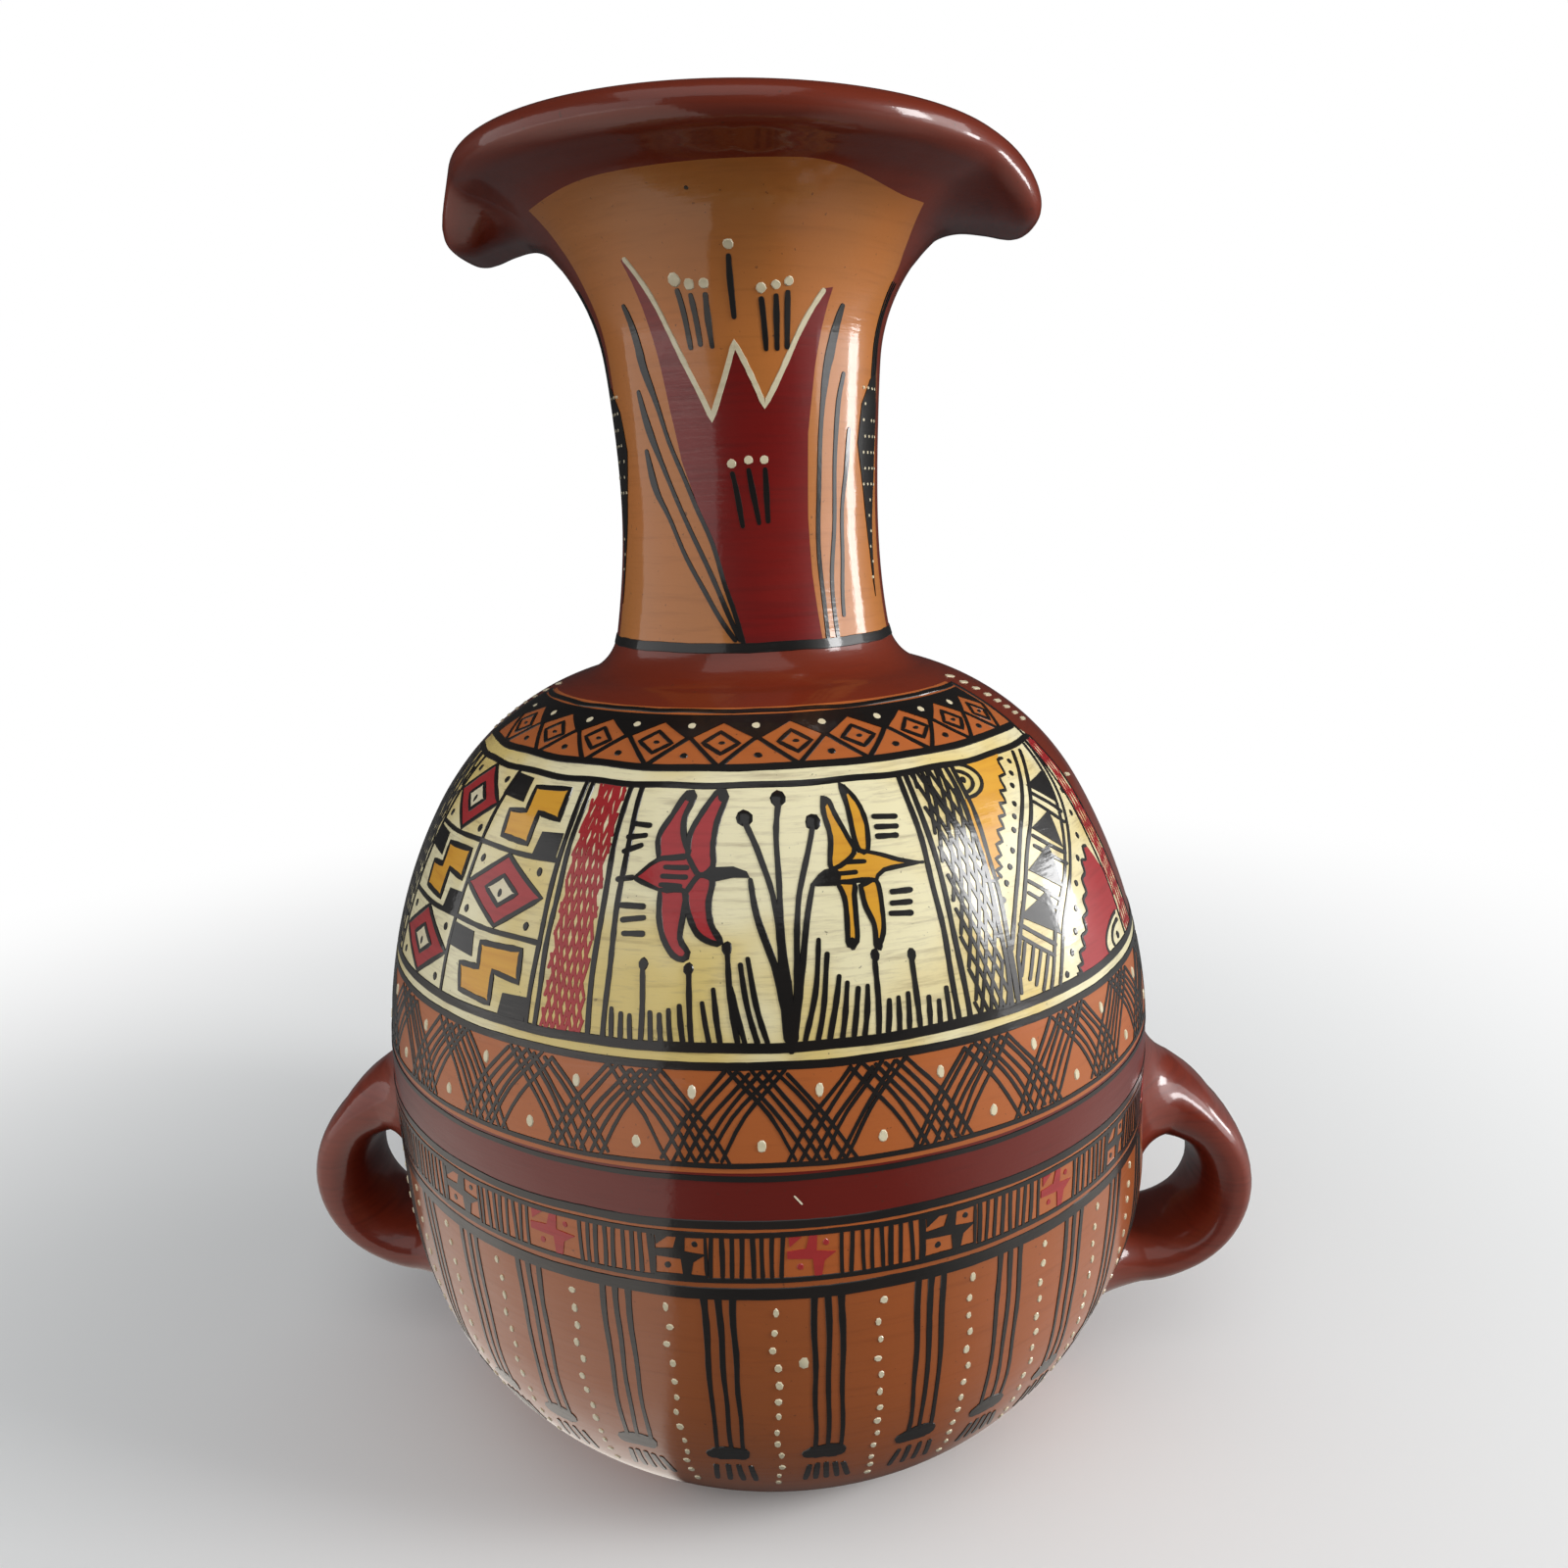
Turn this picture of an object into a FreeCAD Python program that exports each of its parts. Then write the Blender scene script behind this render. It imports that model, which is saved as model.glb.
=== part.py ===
import FreeCAD, Part
import math
import os

import Sketcher

# A painted clay jar after the Inca aryballos, as a potter builds it on a bench.
# A flat slab is the base, and a wall of clay goes up from it to the belly. The shoulder
# closes over that, a thrown neck is set into the hole that the shoulder leaves, and a coil
# finishes the mouth. Two strap handles and two lugs under the coil are luted on last.
# Nothing moves. +Z is up, the handles are on X, and the origin is the middle of the base.

doc = FreeCAD.newDocument("jar")
sheet = doc.addObject("Spreadsheet::Sheet", "sizes")
next_row = 1


def size(name, value, meaning):
    """Write one driving dimension, in millimetres, under its own name."""
    global next_row
    sheet.set("A%d" % next_row, meaning)
    sheet.set("B%d" % next_row, str(value))
    sheet.setAlias("B%d" % next_row, name)
    next_row += 1


def worked_out(name, formula):
    """Write one value that follows from the driving dimensions."""
    global next_row
    sheet.set("B%d" % next_row, "=" + formula)
    sheet.setAlias("B%d" % next_row, name)
    next_row += 1


# The main sizes, in millimetres. What follows is a share of one of these or stands on it.
JAR_HEIGHT = 300.0
BELLY_RADIUS = 96.5
NECK_RADIUS = 31.0
RIM_RADIUS = 63.0

# How far up the outline's points lie, as shares of the jar's height
FLANK_UP = 0.165
BELLY_UP = 0.30667
SHOULDER_UP = 0.525
ROOT_UP = 0.621
COLLAR_UP = 0.65333
WAIST_UP = 0.755
FLARE_UP = 0.85833

# How far out they lie, as shares of the belly's radius or of the neck's
FOOT_OUT = 0.6321
FLANK_OUT = 0.971
SHOULDER_OUT = 0.8187
ROOT_OUT = 0.4456
COLLAR_OUT = 1.0839
FLARE_OUT = 1.0484

size("jar_height", JAR_HEIGHT, "height of the jar with its coil")
size("belly_radius", BELLY_RADIUS, "radius at the widest place")
size("waist_radius", NECK_RADIUS, "radius at the narrowest place of the neck")
size("rim_radius", RIM_RADIUS, "outer radius of the coil")
size("flank_up", FLANK_UP, "where the foot's turn ends")
size("belly_up", BELLY_UP, "where the body is widest")
size("shoulder_up", SHOULDER_UP, "where the shoulder turns in")
size("root_up", ROOT_UP, "where the seam round the neck's root lies")
size("collar_up", COLLAR_UP, "where the neck's root ends")
size("waist_up", WAIST_UP, "where the neck is narrowest")
size("flare_up", FLARE_UP, "where the mouth begins to flare")
size("foot_out", FOOT_OUT, "the flat that the jar stands on")
size("flank_out", FLANK_OUT, "the end of the foot's turn")
size("shoulder_out", SHOULDER_OUT, "the place where the shoulder turns in")
size("root_out", ROOT_OUT, "the seam round the neck's root")
size("collar_out", COLLAR_OUT, "the end of the neck's root")
size("flare_out", FLARE_OUT, "the start of the flare")
for point in ("flank", "belly", "shoulder", "root", "collar", "waist", "flare"):
    worked_out(point + "_height", "jar_height*%s_up" % point)
for point in ("foot", "flank", "shoulder", "root"):
    worked_out(point + "_radius", "belly_radius*%s_out" % point)
for point in ("collar", "flare"):
    worked_out(point + "_radius", "waist_radius*%s_out" % point)

# Walls
BASE_THICK = 7.0
WALL = 6.0
NECK_WALL = 5.5
size("base_thick", BASE_THICK, "thickness of the base slab")
size("wall", WALL, "wall of the body")
size("neck_wall", NECK_WALL, "wall of the neck")

# The coil round the mouth, an oval in section, laps a little over the neck's edge.
RIM_HALF_WIDTH = 8.5
RIM_HALF_HEIGHT = 6.5
RIM_SINK = 4.0
RIM_OVERHANG = 7.4
size("rim_half_width", RIM_HALF_WIDTH, "half the width of the coil")
size("rim_half_height", RIM_HALF_HEIGHT, "half the height of the coil")
size("rim_sink", RIM_SINK, "how far the coil reaches down over the neck's edge")
size("rim_overhang", RIM_OVERHANG, "how far the coil stands out past the neck's edge")
worked_out("mouth_radius", "rim_radius-rim_overhang")
worked_out("mouth_height", "jar_height-2*rim_half_height+rim_sink")

# The handles, each an oval strap bent round a finger gap
LOOP_UP = 0.16333
LOOP_STAND = 1.5
LOOP_RADIUS = 22.0
STRAP_WIDTH = 32.0
STRAP_THICK = 13.0
HIGH_QUARTER_THICK = 12.5
LOW_QUARTER_THICK = 11.5
UPPER_THICK = 20.0
LOWER_THICK = 14.0
ROOT_THICK = 27.0
ROOT_WIDTH = 42.0
UPPER_ROOT_DEPTH = 15.0
LOWER_ROOT_DEPTH = 26.0
ROOT_RISE = 11.0
ROOT_DROP = 1.0
size("loop_up", LOOP_UP, "where the middle of the finger gap lies, as a share of the height")
size("loop_stand", LOOP_STAND, "how far that middle stands out from the belly's radius")
size("loop_radius", LOOP_RADIUS, "radius of the strap's middle line")
size("strap_width", STRAP_WIDTH, "width of the strap, front to back")
size("strap_thick", STRAP_THICK, "thickness of the strap at its outermost")
size("high_quarter_thick", HIGH_QUARTER_THICK, "its thickness half way to its upper root")
size("low_quarter_thick", LOW_QUARTER_THICK, "its thickness half way to its lower root")
size("upper_thick", UPPER_THICK, "thickness of the strap above the finger gap")
size("lower_thick", LOWER_THICK, "thickness of the strap below the finger gap")
size("root_thick", ROOT_THICK, "thickness of the strap inside its roots")
size("root_width", ROOT_WIDTH, "width of the strap inside its roots")
size("upper_root_depth", UPPER_ROOT_DEPTH, "how far the upper root runs in from the loop")
size("lower_root_depth", LOWER_ROOT_DEPTH, "how far the lower root runs in from the loop")
size("root_rise", ROOT_RISE, "how far the upper root climbs on its way in")
size("root_drop", ROOT_DROP, "how far the lower root falls on its way in")
worked_out("loop_height", "jar_height*loop_up")
worked_out("loop_x", "belly_radius+loop_stand")

# The lugs under the coil, each a pinched oval nub
LUG_STAND = 3.2
LUG_HALF_LENGTH = 9.6
LUG_HALF_WIDTH = 10.0
LUG_HALF_HEIGHT = 6.5
LUG_BELOW = 1.0
size("lug_stand", LUG_STAND, "how far the lug reaches out past the coil")
size("lug_half_length", LUG_HALF_LENGTH, "half the length of the lug, towards the neck")
size("lug_half_width", LUG_HALF_WIDTH, "half the width of the lug, round the rim")
size("lug_half_height", LUG_HALF_HEIGHT, "half the height of the lug")
size("lug_below", LUG_BELOW, "how far the lug's middle lies below the neck's edge")


def arc_from_upright(name, start, end):
    """Work out an arc that stands upright at its start point and runs through its end point."""
    x0, z0 = start
    x1, z1 = end
    run = "((%s-%s)^2+(%s-%s)^2)/(2*(%s-%s))" % (x1, x0, z1, z0, x0, x1)
    worked_out(name + "_x", "%s-%s" % (x0, run))
    worked_out(name + "_z", z0)
    worked_out(name + "_bend", "abs(%s)" % run)


def arc_onward(name, before, start, end):
    """Work out an arc that leaves the arc before it with no corner and runs through its end."""
    x0, z0 = start
    x1, z1 = end
    worked_out(name + "_nx", "(%s_x-%s)/%s_bend" % (before, x0, before))
    worked_out(name + "_nz", "(%s_z-%s)/%s_bend" % (before, z0, before))
    chord = "((%s-%s)^2+(%s-%s)^2)" % (x1, x0, z1, z0)
    lean = "((%s-%s)*%s_nx+(%s-%s)*%s_nz)" % (x1, x0, name, z1, z0, name)
    worked_out(name + "_bend", "%s/(2*%s)" % (chord, lean))
    worked_out(name + "_x", "%s+%s_bend*%s_nx" % (x0, name, name))
    worked_out(name + "_z", "%s+%s_bend*%s_nz" % (z0, name, name))


def inner_point(name, arc, point, thick, towards_centre):
    """Work out the point inside the wall that faces an outline point."""
    x, z = point
    sign = "+" if towards_centre else "-"
    worked_out(name + "_x", "%s%s%s*(%s_x-%s)/%s_bend" % (x, sign, thick, arc, x, arc))
    worked_out(name + "_z", "%s%s%s*(%s_z-%s)/%s_bend" % (z, sign, thick, arc, z, arc))
    return (name + "_x", name + "_z")


# The outline's points, each a radius and a height
foot = ("foot_radius", None)
flank = ("flank_radius", "flank_height")
belly = ("belly_radius", "belly_height")
shoulder = ("shoulder_radius", "shoulder_height")
root = ("root_radius", "root_height")
collar = ("collar_radius", "collar_height")
waist = ("waist_radius", "waist_height")
flare = ("flare_radius", "flare_height")
mouth = ("mouth_radius", "mouth_height")

# The arcs between them: the body bulges out, the neck is hollow-sided
arc_from_upright("low_arc", belly, flank)
arc_onward("foot_arc", "low_arc", flank, ("foot_radius", "0"))
arc_from_upright("high_arc", belly, shoulder)
arc_onward("top_arc", "high_arc", shoulder, root)
arc_from_upright("throat_arc", waist, collar)
arc_onward("collar_arc", "throat_arc", collar, root)
arc_from_upright("rising_arc", waist, flare)
arc_onward("mouth_arc", "rising_arc", flare, mouth)

# The seam on the base slab
worked_out("seam_up", "foot_arc_z-base_thick")
worked_out("seam_x", "foot_arc_x+sqrt(foot_arc_bend^2-seam_up^2)")
worked_out("seam_inner_x", "foot_arc_x+sqrt((foot_arc_bend-wall)^2-seam_up^2)")
seam = ("seam_x", "base_thick")
seam_inner = ("seam_inner_x", "base_thick")

# The inside of the body
flank_inner = inner_point("flank_inner", "foot_arc", flank, "wall", True)
worked_out("belly_inner_x", "belly_radius-wall")
belly_inner = ("belly_inner_x", "belly_height")
shoulder_inner = inner_point("shoulder_inner", "high_arc", shoulder, "wall", True)
worked_out("root_inner_z", "top_arc_z+sqrt((top_arc_bend-wall)^2-(root_radius-top_arc_x)^2)")
root_inner = ("root_radius", "root_inner_z")

# The inside of the neck
collar_inner = inner_point("collar_inner", "throat_arc", collar, "neck_wall", False)
worked_out("waist_inner_x", "waist_radius-neck_wall")
waist_inner = ("waist_inner_x", "waist_height")
flare_inner = inner_point("flare_inner", "rising_arc", flare, "neck_wall", False)
worked_out("mouth_up", "mouth_height-mouth_arc_z")
worked_out("mouth_inner_x", "mouth_arc_x-sqrt((mouth_arc_bend+neck_wall)^2-mouth_up^2)")
mouth_inner = ("mouth_inner_x", "mouth_height")

# The places of the coil, the handles and the lugs
worked_out("rim_x", "rim_radius-rim_half_width")
worked_out("rim_z", "mouth_height-rim_sink+rim_half_height")
worked_out("lug_x", "rim_radius+lug_stand-lug_half_length")
worked_out("lug_z", "mouth_height-lug_below")
doc.recompute()


# Two sketch points closer than this, in millimetres, are the same point.
SAME_POINT = 1e-6


def value(name):
    """Read one value back from the sheet."""
    return float(sheet.get(name))


def place(point):
    """The sketch point of an outline point."""
    x, z = point
    return FreeCAD.Vector(value(x) if x else 0, value(z) if z else 0, 0)


def pin_point(sketch, curve, end, point):
    """Hold one end of a curve at the sheet's radius and height."""
    for axis, kind, name in ((-2, "DistanceX", point[0]), (-1, "DistanceY", point[1])):
        if name is None:
            sketch.addConstraint(Sketcher.Constraint("PointOnObject", curve, end, axis))
            continue
        number = sketch.addConstraint(Sketcher.Constraint(kind, -1, 1, curve, end, value(name)))
        sketch.setExpression("Constraints[%d]" % number, "sizes." + name)


def bend_now(bend):
    """The radius of a curve: an outline arc's own, or with the wall added or taken off."""
    radius = value(bend[0])
    if len(bend) > 1:
        radius += bend[1] * value(bend[2])
    return radius


def arc_between(start, end, bend, bulges_left):
    """An arc of a circle from one sketch point to another, on the side that it bulges to."""
    half = (end - start).Length / 2
    along = (end - start).normalize()
    side = FreeCAD.Vector(-along.y, along.x, 0) * (1 if bulges_left else -1)
    rise = bend - math.sqrt(bend ** 2 - half ** 2)
    middle = (start + end) / 2 + side * rise
    return Part.Arc(start, middle, end)


def section(body, name, outline):
    """Draw a closed half section. Each item is a point and the curve that leaves it."""
    sketch = body.newObject("Sketcher::SketchObject", name)
    planes = [p for p in body.Origin.OriginFeatures if p.Role == "XZ_Plane"]
    sketch.AttachmentSupport = (planes[0], "")
    sketch.MapMode = "FlatFace"
    count = len(outline)
    for index, (point, curve) in enumerate(outline):
        start = place(point)
        end = place(outline[(index + 1) % count][0])
        if curve is None:
            sketch.addGeometry(Part.LineSegment(start, end))
        else:
            bend, bulges_left = curve
            sketch.addGeometry(arc_between(start, end, bend_now(bend), bulges_left))
    ends = [(1, 2)] * count
    for index, (point, curve) in enumerate(outline):
        start = place(point)
        for end_number in (1, 2):
            if (sketch.getPoint(index, end_number) - start).Length < SAME_POINT:
                ends[index] = (end_number, 3 - end_number)
    for index in range(count):
        after = (index + 1) % count
        joint = Sketcher.Constraint("Coincident", index, ends[index][1], after, ends[after][0])
        sketch.addConstraint(joint)
    for index, (point, curve) in enumerate(outline):
        pin_point(sketch, index, ends[index][0], point)
        if curve is not None:
            bend = curve[0]
            radius = Sketcher.Constraint("Radius", index, bend_now(bend))
            number = sketch.addConstraint(radius)
            text = "sizes." + bend[0]
            if len(bend) > 1:
                text += ("+" if bend[1] > 0 else "-") + "sizes." + bend[2]
            sketch.setExpression("Constraints[%d]" % number, text)
    return sketch


def turned(name, outline):
    """Turn a half section round the jar's axis."""
    body = doc.addObject("PartDesign::Body", name)
    sketch = section(body, name + "_section", outline)
    turn = body.newObject("PartDesign::Revolution", name + "_turn")
    turn.Profile = sketch
    turn.ReferenceAxis = (sketch, ["V_Axis"])
    turn.Angle = 360
    sketch.Visibility = False
    body.Tip = turn
    body.Label = name
    return body


def outward(arc):
    """The curve of an outline arc of the body, drawn upwards."""
    return ((arc + "_bend",), False)


def hollow(arc):
    """The curve of an outline arc of the neck, drawn upwards."""
    return ((arc + "_bend",), True)


def inside_body(arc):
    """The curve inside the body's wall, drawn downwards."""
    return ((arc + "_bend", -1, "wall"), True)


def inside_neck(arc):
    """The curve inside the neck's wall, drawn downwards."""
    return ((arc + "_bend", 1, "neck_wall"), False)


# The base is a slab, and the wall stands on its edge.
base_slab = turned("base_slab", [
    ((None, None), None),
    (foot, outward("foot_arc")),
    (seam, None),
    ((None, "base_thick"), None)])

lower_body = turned("lower_body", [
    (seam, outward("foot_arc")),
    (flank, outward("low_arc")),
    (belly, None),
    (belly_inner, inside_body("low_arc")),
    (flank_inner, inside_body("foot_arc")),
    (seam_inner, None)])

upper_body = turned("upper_body", [
    (belly, outward("high_arc")),
    (shoulder, outward("top_arc")),
    (root, None),
    (root_inner, inside_body("top_arc")),
    (shoulder_inner, inside_body("high_arc")),
    (belly_inner, None)])

# The neck sits in the shoulder's hole with an upright seam.
neck = turned("neck", [
    (root, hollow("collar_arc")),
    (collar, hollow("throat_arc")),
    (waist, hollow("rising_arc")),
    (flare, hollow("mouth_arc")),
    (mouth, None),
    (mouth_inner, inside_neck("mouth_arc")),
    (flare_inner, inside_neck("rising_arc")),
    (waist_inner, inside_neck("throat_arc")),
    (collar_inner, inside_neck("collar_arc")),
    (root_inner, None)])

# The jar's outline, filled: what is luted on from outside is trimmed to it.
jar_form = turned("jar_form", [
    ((None, None), None),
    (foot, outward("foot_arc")),
    (flank, outward("low_arc")),
    (belly, outward("high_arc")),
    (shoulder, outward("top_arc")),
    (root, hollow("collar_arc")),
    (collar, hollow("throat_arc")),
    (waist, hollow("rising_arc")),
    (flare, hollow("mouth_arc")),
    (mouth, None),
    ((None, "mouth_height"), None)])


def bind(item, **texts):
    """Tie an object's properties to the sheet. A double underscore stands for a dot."""
    for key, text in texts.items():
        item.setExpression(key.replace("__", "."), text)
    return item


def trimmed(name, whole, tools):
    """Cut a piece to the faces that it is luted on."""
    for number, tool in enumerate(tools):
        cut = doc.addObject("Part::Cut", "%s_cut_%d" % (name, number))
        cut.Base = whole
        cut.Tool = tool
        whole = cut
    whole.Label = name
    return whole


# The coil round the mouth sits on the neck's edge and laps a little over it. An ellipse is
# drawn lying flat, and a quarter turn stands it up in the plane through the jar's axis.
QUARTER_TURN = 90
coil_oval = doc.addObject("Part::Ellipse", "coil_oval")
coil_oval.Placement.Rotation = FreeCAD.Rotation(FreeCAD.Vector(1, 0, 0), QUARTER_TURN)
bind(coil_oval, MajorRadius="sizes.rim_half_width", MinorRadius="sizes.rim_half_height",
     Placement__Base__x="sizes.rim_x", Placement__Base__z="sizes.rim_z")
coil = doc.addObject("Part::Revolution", "coil")
coil.Source = coil_oval
coil.Axis = FreeCAD.Vector(0, 0, 1)
coil.Angle = 360
coil.Solid = True
rim_coil = trimmed("rim_coil", coil, [jar_form])


# The hollow over the mouth, filled: nothing that is luted on from outside reaches into it.
mouth_space = doc.addObject("Part::Cylinder", "mouth_space")
bind(mouth_space, Radius="sizes.rim_x", Height="2*sizes.rim_half_height",
     Placement__Base__z="sizes.mouth_height")


# The way a strap runs at its sections, in degrees from straight out, turning down
STRAIGHT_OUT = 0
EIGHTH_TURN = 45
STRAIGHT_IN = 180
UPPER_ROOT_LEAN = -8


def strap_section(name, side, out, up, lean, thick, width):
    """One oval section of a strap, square to the way that the strap runs there.

    out and up are from the middle of the finger gap, and lean is the angle in degrees
    between the strap's run and the way straight out from the jar, turning down.
    """
    oval = doc.addObject("Part::Ellipse", name)
    run = math.radians(lean)
    along = FreeCAD.Vector(side * math.cos(run), 0, -math.sin(run))
    across = FreeCAD.Vector(0, 1, 0)
    oval.Placement.Rotation = FreeCAD.Rotation(across, along.cross(across), along, "ZXY")
    middle = "%d*(sizes.loop_x+%s)" % (side, out)
    bind(oval, MajorRadius="sizes.%s/2" % width, MinorRadius="sizes.%s/2" % thick,
         Placement__Base__x=middle, Placement__Base__z="sizes.loop_height+" + up)
    return oval


def strap_handle(name, side):
    """A strap handle: an oval strap lofted round its finger gap and trimmed to the wall."""
    r = "sizes.loop_radius"
    slant = "%s*cos(45)" % r
    path = [
        ("-sizes.upper_root_depth", "(%s+sizes.root_rise)" % r, UPPER_ROOT_LEAN,
         "root_thick", "root_width"),
        ("0", r, STRAIGHT_OUT, "upper_thick", "strap_width"),
        (slant, slant, STRAIGHT_OUT + EIGHTH_TURN, "high_quarter_thick", "strap_width"),
        (r, "0", STRAIGHT_OUT + 2 * EIGHTH_TURN, "strap_thick", "strap_width"),
        (slant, "(-%s)" % slant, STRAIGHT_OUT + 3 * EIGHTH_TURN,
         "low_quarter_thick", "strap_width"),
        ("0", "(-%s)" % r, STRAIGHT_IN, "lower_thick", "strap_width"),
        ("-sizes.lower_root_depth", "(-%s-sizes.root_drop)" % r, STRAIGHT_IN,
         "root_thick", "root_width")]
    ovals = []
    for number, (out, up, lean, thick, width) in enumerate(path):
        oval_name = "%s_oval_%d" % (name, number)
        ovals.append(strap_section(oval_name, side, out, up, lean, thick, width))
    loft = doc.addObject("Part::Loft", name + "_loft")
    loft.Sections = ovals
    loft.Solid = True
    loft.Ruled = False
    loft.Closed = False
    return trimmed(name, loft, [jar_form])


def lug(name, side):
    """A nub of clay pinched out under the coil."""
    nub = doc.addObject("Part::Ellipsoid", name + "_nub")
    bind(nub, Radius1="sizes.lug_half_height", Radius2="sizes.lug_half_length",
         Radius3="sizes.lug_half_width",
         Placement__Base__x="%d*sizes.lug_x" % side, Placement__Base__z="sizes.lug_z")
    return trimmed(name, nub, [jar_form, mouth_space, rim_coil])


handle_right = strap_handle("handle_right", 1)
handle_left = strap_handle("handle_left", -1)
lug_right = lug("lug_right", 1)
lug_left = lug("lug_left", -1)

pieces = [base_slab, lower_body, upper_body, neck, rim_coil,
          handle_left, handle_right, lug_left, lug_right]

doc.recompute()

# Every object has to be sound before anything is written.
for item in doc.Objects:
    if "Invalid" in item.State or "Error" in item.State:
        raise RuntimeError("%s did not compute: %s" % (item.Name, item.State))
for piece in pieces:
    shape = piece.Shape
    if shape.isNull() or not shape.isValid():
        raise RuntimeError("%s has no valid shape" % piece.Label)
    if len(shape.Solids) != 1:
        raise RuntimeError("%s is %d solids, not one" % (piece.Label, len(shape.Solids)))

os.makedirs("parts", exist_ok=True)
for piece in pieces:
    piece.Shape.exportStep("parts/%s.step" % piece.Label)
    box = piece.Shape.optimalBoundingBox(False)
    print("%-13s volume %9.0f mm3, x %7.1f %6.1f, z %6.1f %6.1f"
          % (piece.Label, piece.Shape.Volume, box.XMin, box.XMax, box.ZMin, box.ZMax))
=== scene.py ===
# %% [markdown]
# Painted jar
# This is a clay jar of the Inca aryballos type: a round belly, a thin flared neck with a
# thick lip, two strap handles low down and two small lugs under the lip. Its front is
# painted in coloured slips, which are clays thinned with water, and a clear varnish lies
# over them. The solids of the jar come from CAD and are loaded first, as the measure of
# all that follows. The clay is then modelled once more as one smooth skin.

# %% Load the solids
import math

import bmesh
import bpy
import numpy as np
from mathutils import Matrix, Vector


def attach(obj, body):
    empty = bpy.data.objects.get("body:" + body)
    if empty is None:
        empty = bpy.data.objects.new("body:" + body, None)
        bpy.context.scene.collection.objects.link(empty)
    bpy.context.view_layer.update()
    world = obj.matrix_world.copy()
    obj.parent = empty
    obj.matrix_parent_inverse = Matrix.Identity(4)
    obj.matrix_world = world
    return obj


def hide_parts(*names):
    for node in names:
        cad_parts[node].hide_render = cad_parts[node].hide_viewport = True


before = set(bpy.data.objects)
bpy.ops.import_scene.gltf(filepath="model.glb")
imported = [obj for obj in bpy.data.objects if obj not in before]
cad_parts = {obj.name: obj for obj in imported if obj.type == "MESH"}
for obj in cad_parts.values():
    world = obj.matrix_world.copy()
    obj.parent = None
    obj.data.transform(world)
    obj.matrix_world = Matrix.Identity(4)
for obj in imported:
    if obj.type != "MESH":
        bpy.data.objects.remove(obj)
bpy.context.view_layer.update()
MM = 0.001

# %% [markdown]
# The outline of the jar
# A thrown jar is a turned form, so one outline says nearly all of its shape. It is a chain
# of arcs that meet without a corner: the belly's arcs bulge out and the neck's arcs are
# hollow. Each arc leaves the one before it in the same direction, so its radius follows
# from its end point alone, and only the meeting points have to be named.

# %% The outline's points and arcs
JAR_HEIGHT = 300.0
FOOT = (61.0, 0.0)
FLANK = (93.7, 49.5)
BELLY = (96.5, 92.0)
SHOULDER = (79.0, 157.5)
ROOT = (43.0, 186.3)
COLLAR = (33.6, 196.0)
WAIST = (31.0, 226.5)
FLARE = (32.5, 257.5)
MOUTH = (55.6, 291.0)


def arc_from_upright(start, end):
    """Centre and radius of an arc that stands upright at its start."""
    run = ((end[0] - start[0]) ** 2 + (end[1] - start[1]) ** 2) / (2 * (start[0] - end[0]))
    return (start[0] - run, start[1]), abs(run)


def arc_onward(arc, start, end):
    """Centre and radius of an arc that leaves the arc before it with no corner."""
    (cx, cz), bend = arc
    nx, nz = (cx - start[0]) / bend, (cz - start[1]) / bend
    chord = (end[0] - start[0]) ** 2 + (end[1] - start[1]) ** 2
    onward = chord / (2 * ((end[0] - start[0]) * nx + (end[1] - start[1]) * nz))
    return (start[0] + onward * nx, start[1] + onward * nz), abs(onward)


def arc_points(arc, start, end, step=1.2):
    """Points about a step apart along an arc, without its end point."""
    (cx, cz), bend = arc
    a = math.atan2(start[1] - cz, start[0] - cx)
    b = math.atan2(end[1] - cz, end[0] - cx)
    turn = (b - a + math.pi) % (2 * math.pi) - math.pi
    count = max(3, round(abs(turn) * bend / step))
    angles = [a + turn * i / count for i in range(count)]
    return [(cx + bend * math.cos(t), cz + bend * math.sin(t)) for t in angles]


low_arc = arc_from_upright(BELLY, FLANK)
foot_arc = arc_onward(low_arc, FLANK, FOOT)
high_arc = arc_from_upright(BELLY, SHOULDER)
top_arc = arc_onward(high_arc, SHOULDER, ROOT)
throat_arc = arc_from_upright(WAIST, COLLAR)
collar_arc = arc_onward(throat_arc, COLLAR, ROOT)
rising_arc = arc_from_upright(WAIST, FLARE)
mouth_arc = arc_onward(rising_arc, FLARE, MOUTH)
outline = arc_points(foot_arc, FOOT, FLANK) + arc_points(low_arc, FLANK, BELLY)
outline += arc_points(high_arc, BELLY, SHOULDER) + arc_points(top_arc, SHOULDER, ROOT)
outline += arc_points(collar_arc, ROOT, COLLAR) + arc_points(throat_arc, COLLAR, WAIST)
outline += arc_points(rising_arc, WAIST, FLARE) + arc_points(mouth_arc, FLARE, MOUTH)
outline.append(MOUTH)
print("the outline has", len(outline), "points and its belly's bend is", round(low_arc[1]))

# %% [markdown]
# Places on the jar
# Everything that is painted is placed by two numbers: how far round the jar it lies, in
# degrees from the middle of the front, and how high, in millimetres. A third, the lift,
# says how far it stands off the clay. The way up the outline is measured along the
# curve, because height alone says little on the flat part of the shoulder.

# %% From a place on the jar to a point in space
WAY = np.array(outline)
STEPS = np.hypot(*np.diff(WAY, axis=0).T)
ALONG = np.concatenate([[0.0], np.cumsum(STEPS)])
SLOPE = np.gradient(WAY, ALONG, axis=0)
SLOPE /= np.hypot(SLOPE[:, 0], SLOPE[:, 1])[:, None]


def way_up(height):
    """How far along the outline a height lies."""
    return np.interp(height, WAY[:, 1], ALONG)


def radius_at(height):
    """The jar's radius at a height."""
    return np.interp(height, WAY[:, 1], WAY[:, 0])


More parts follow.
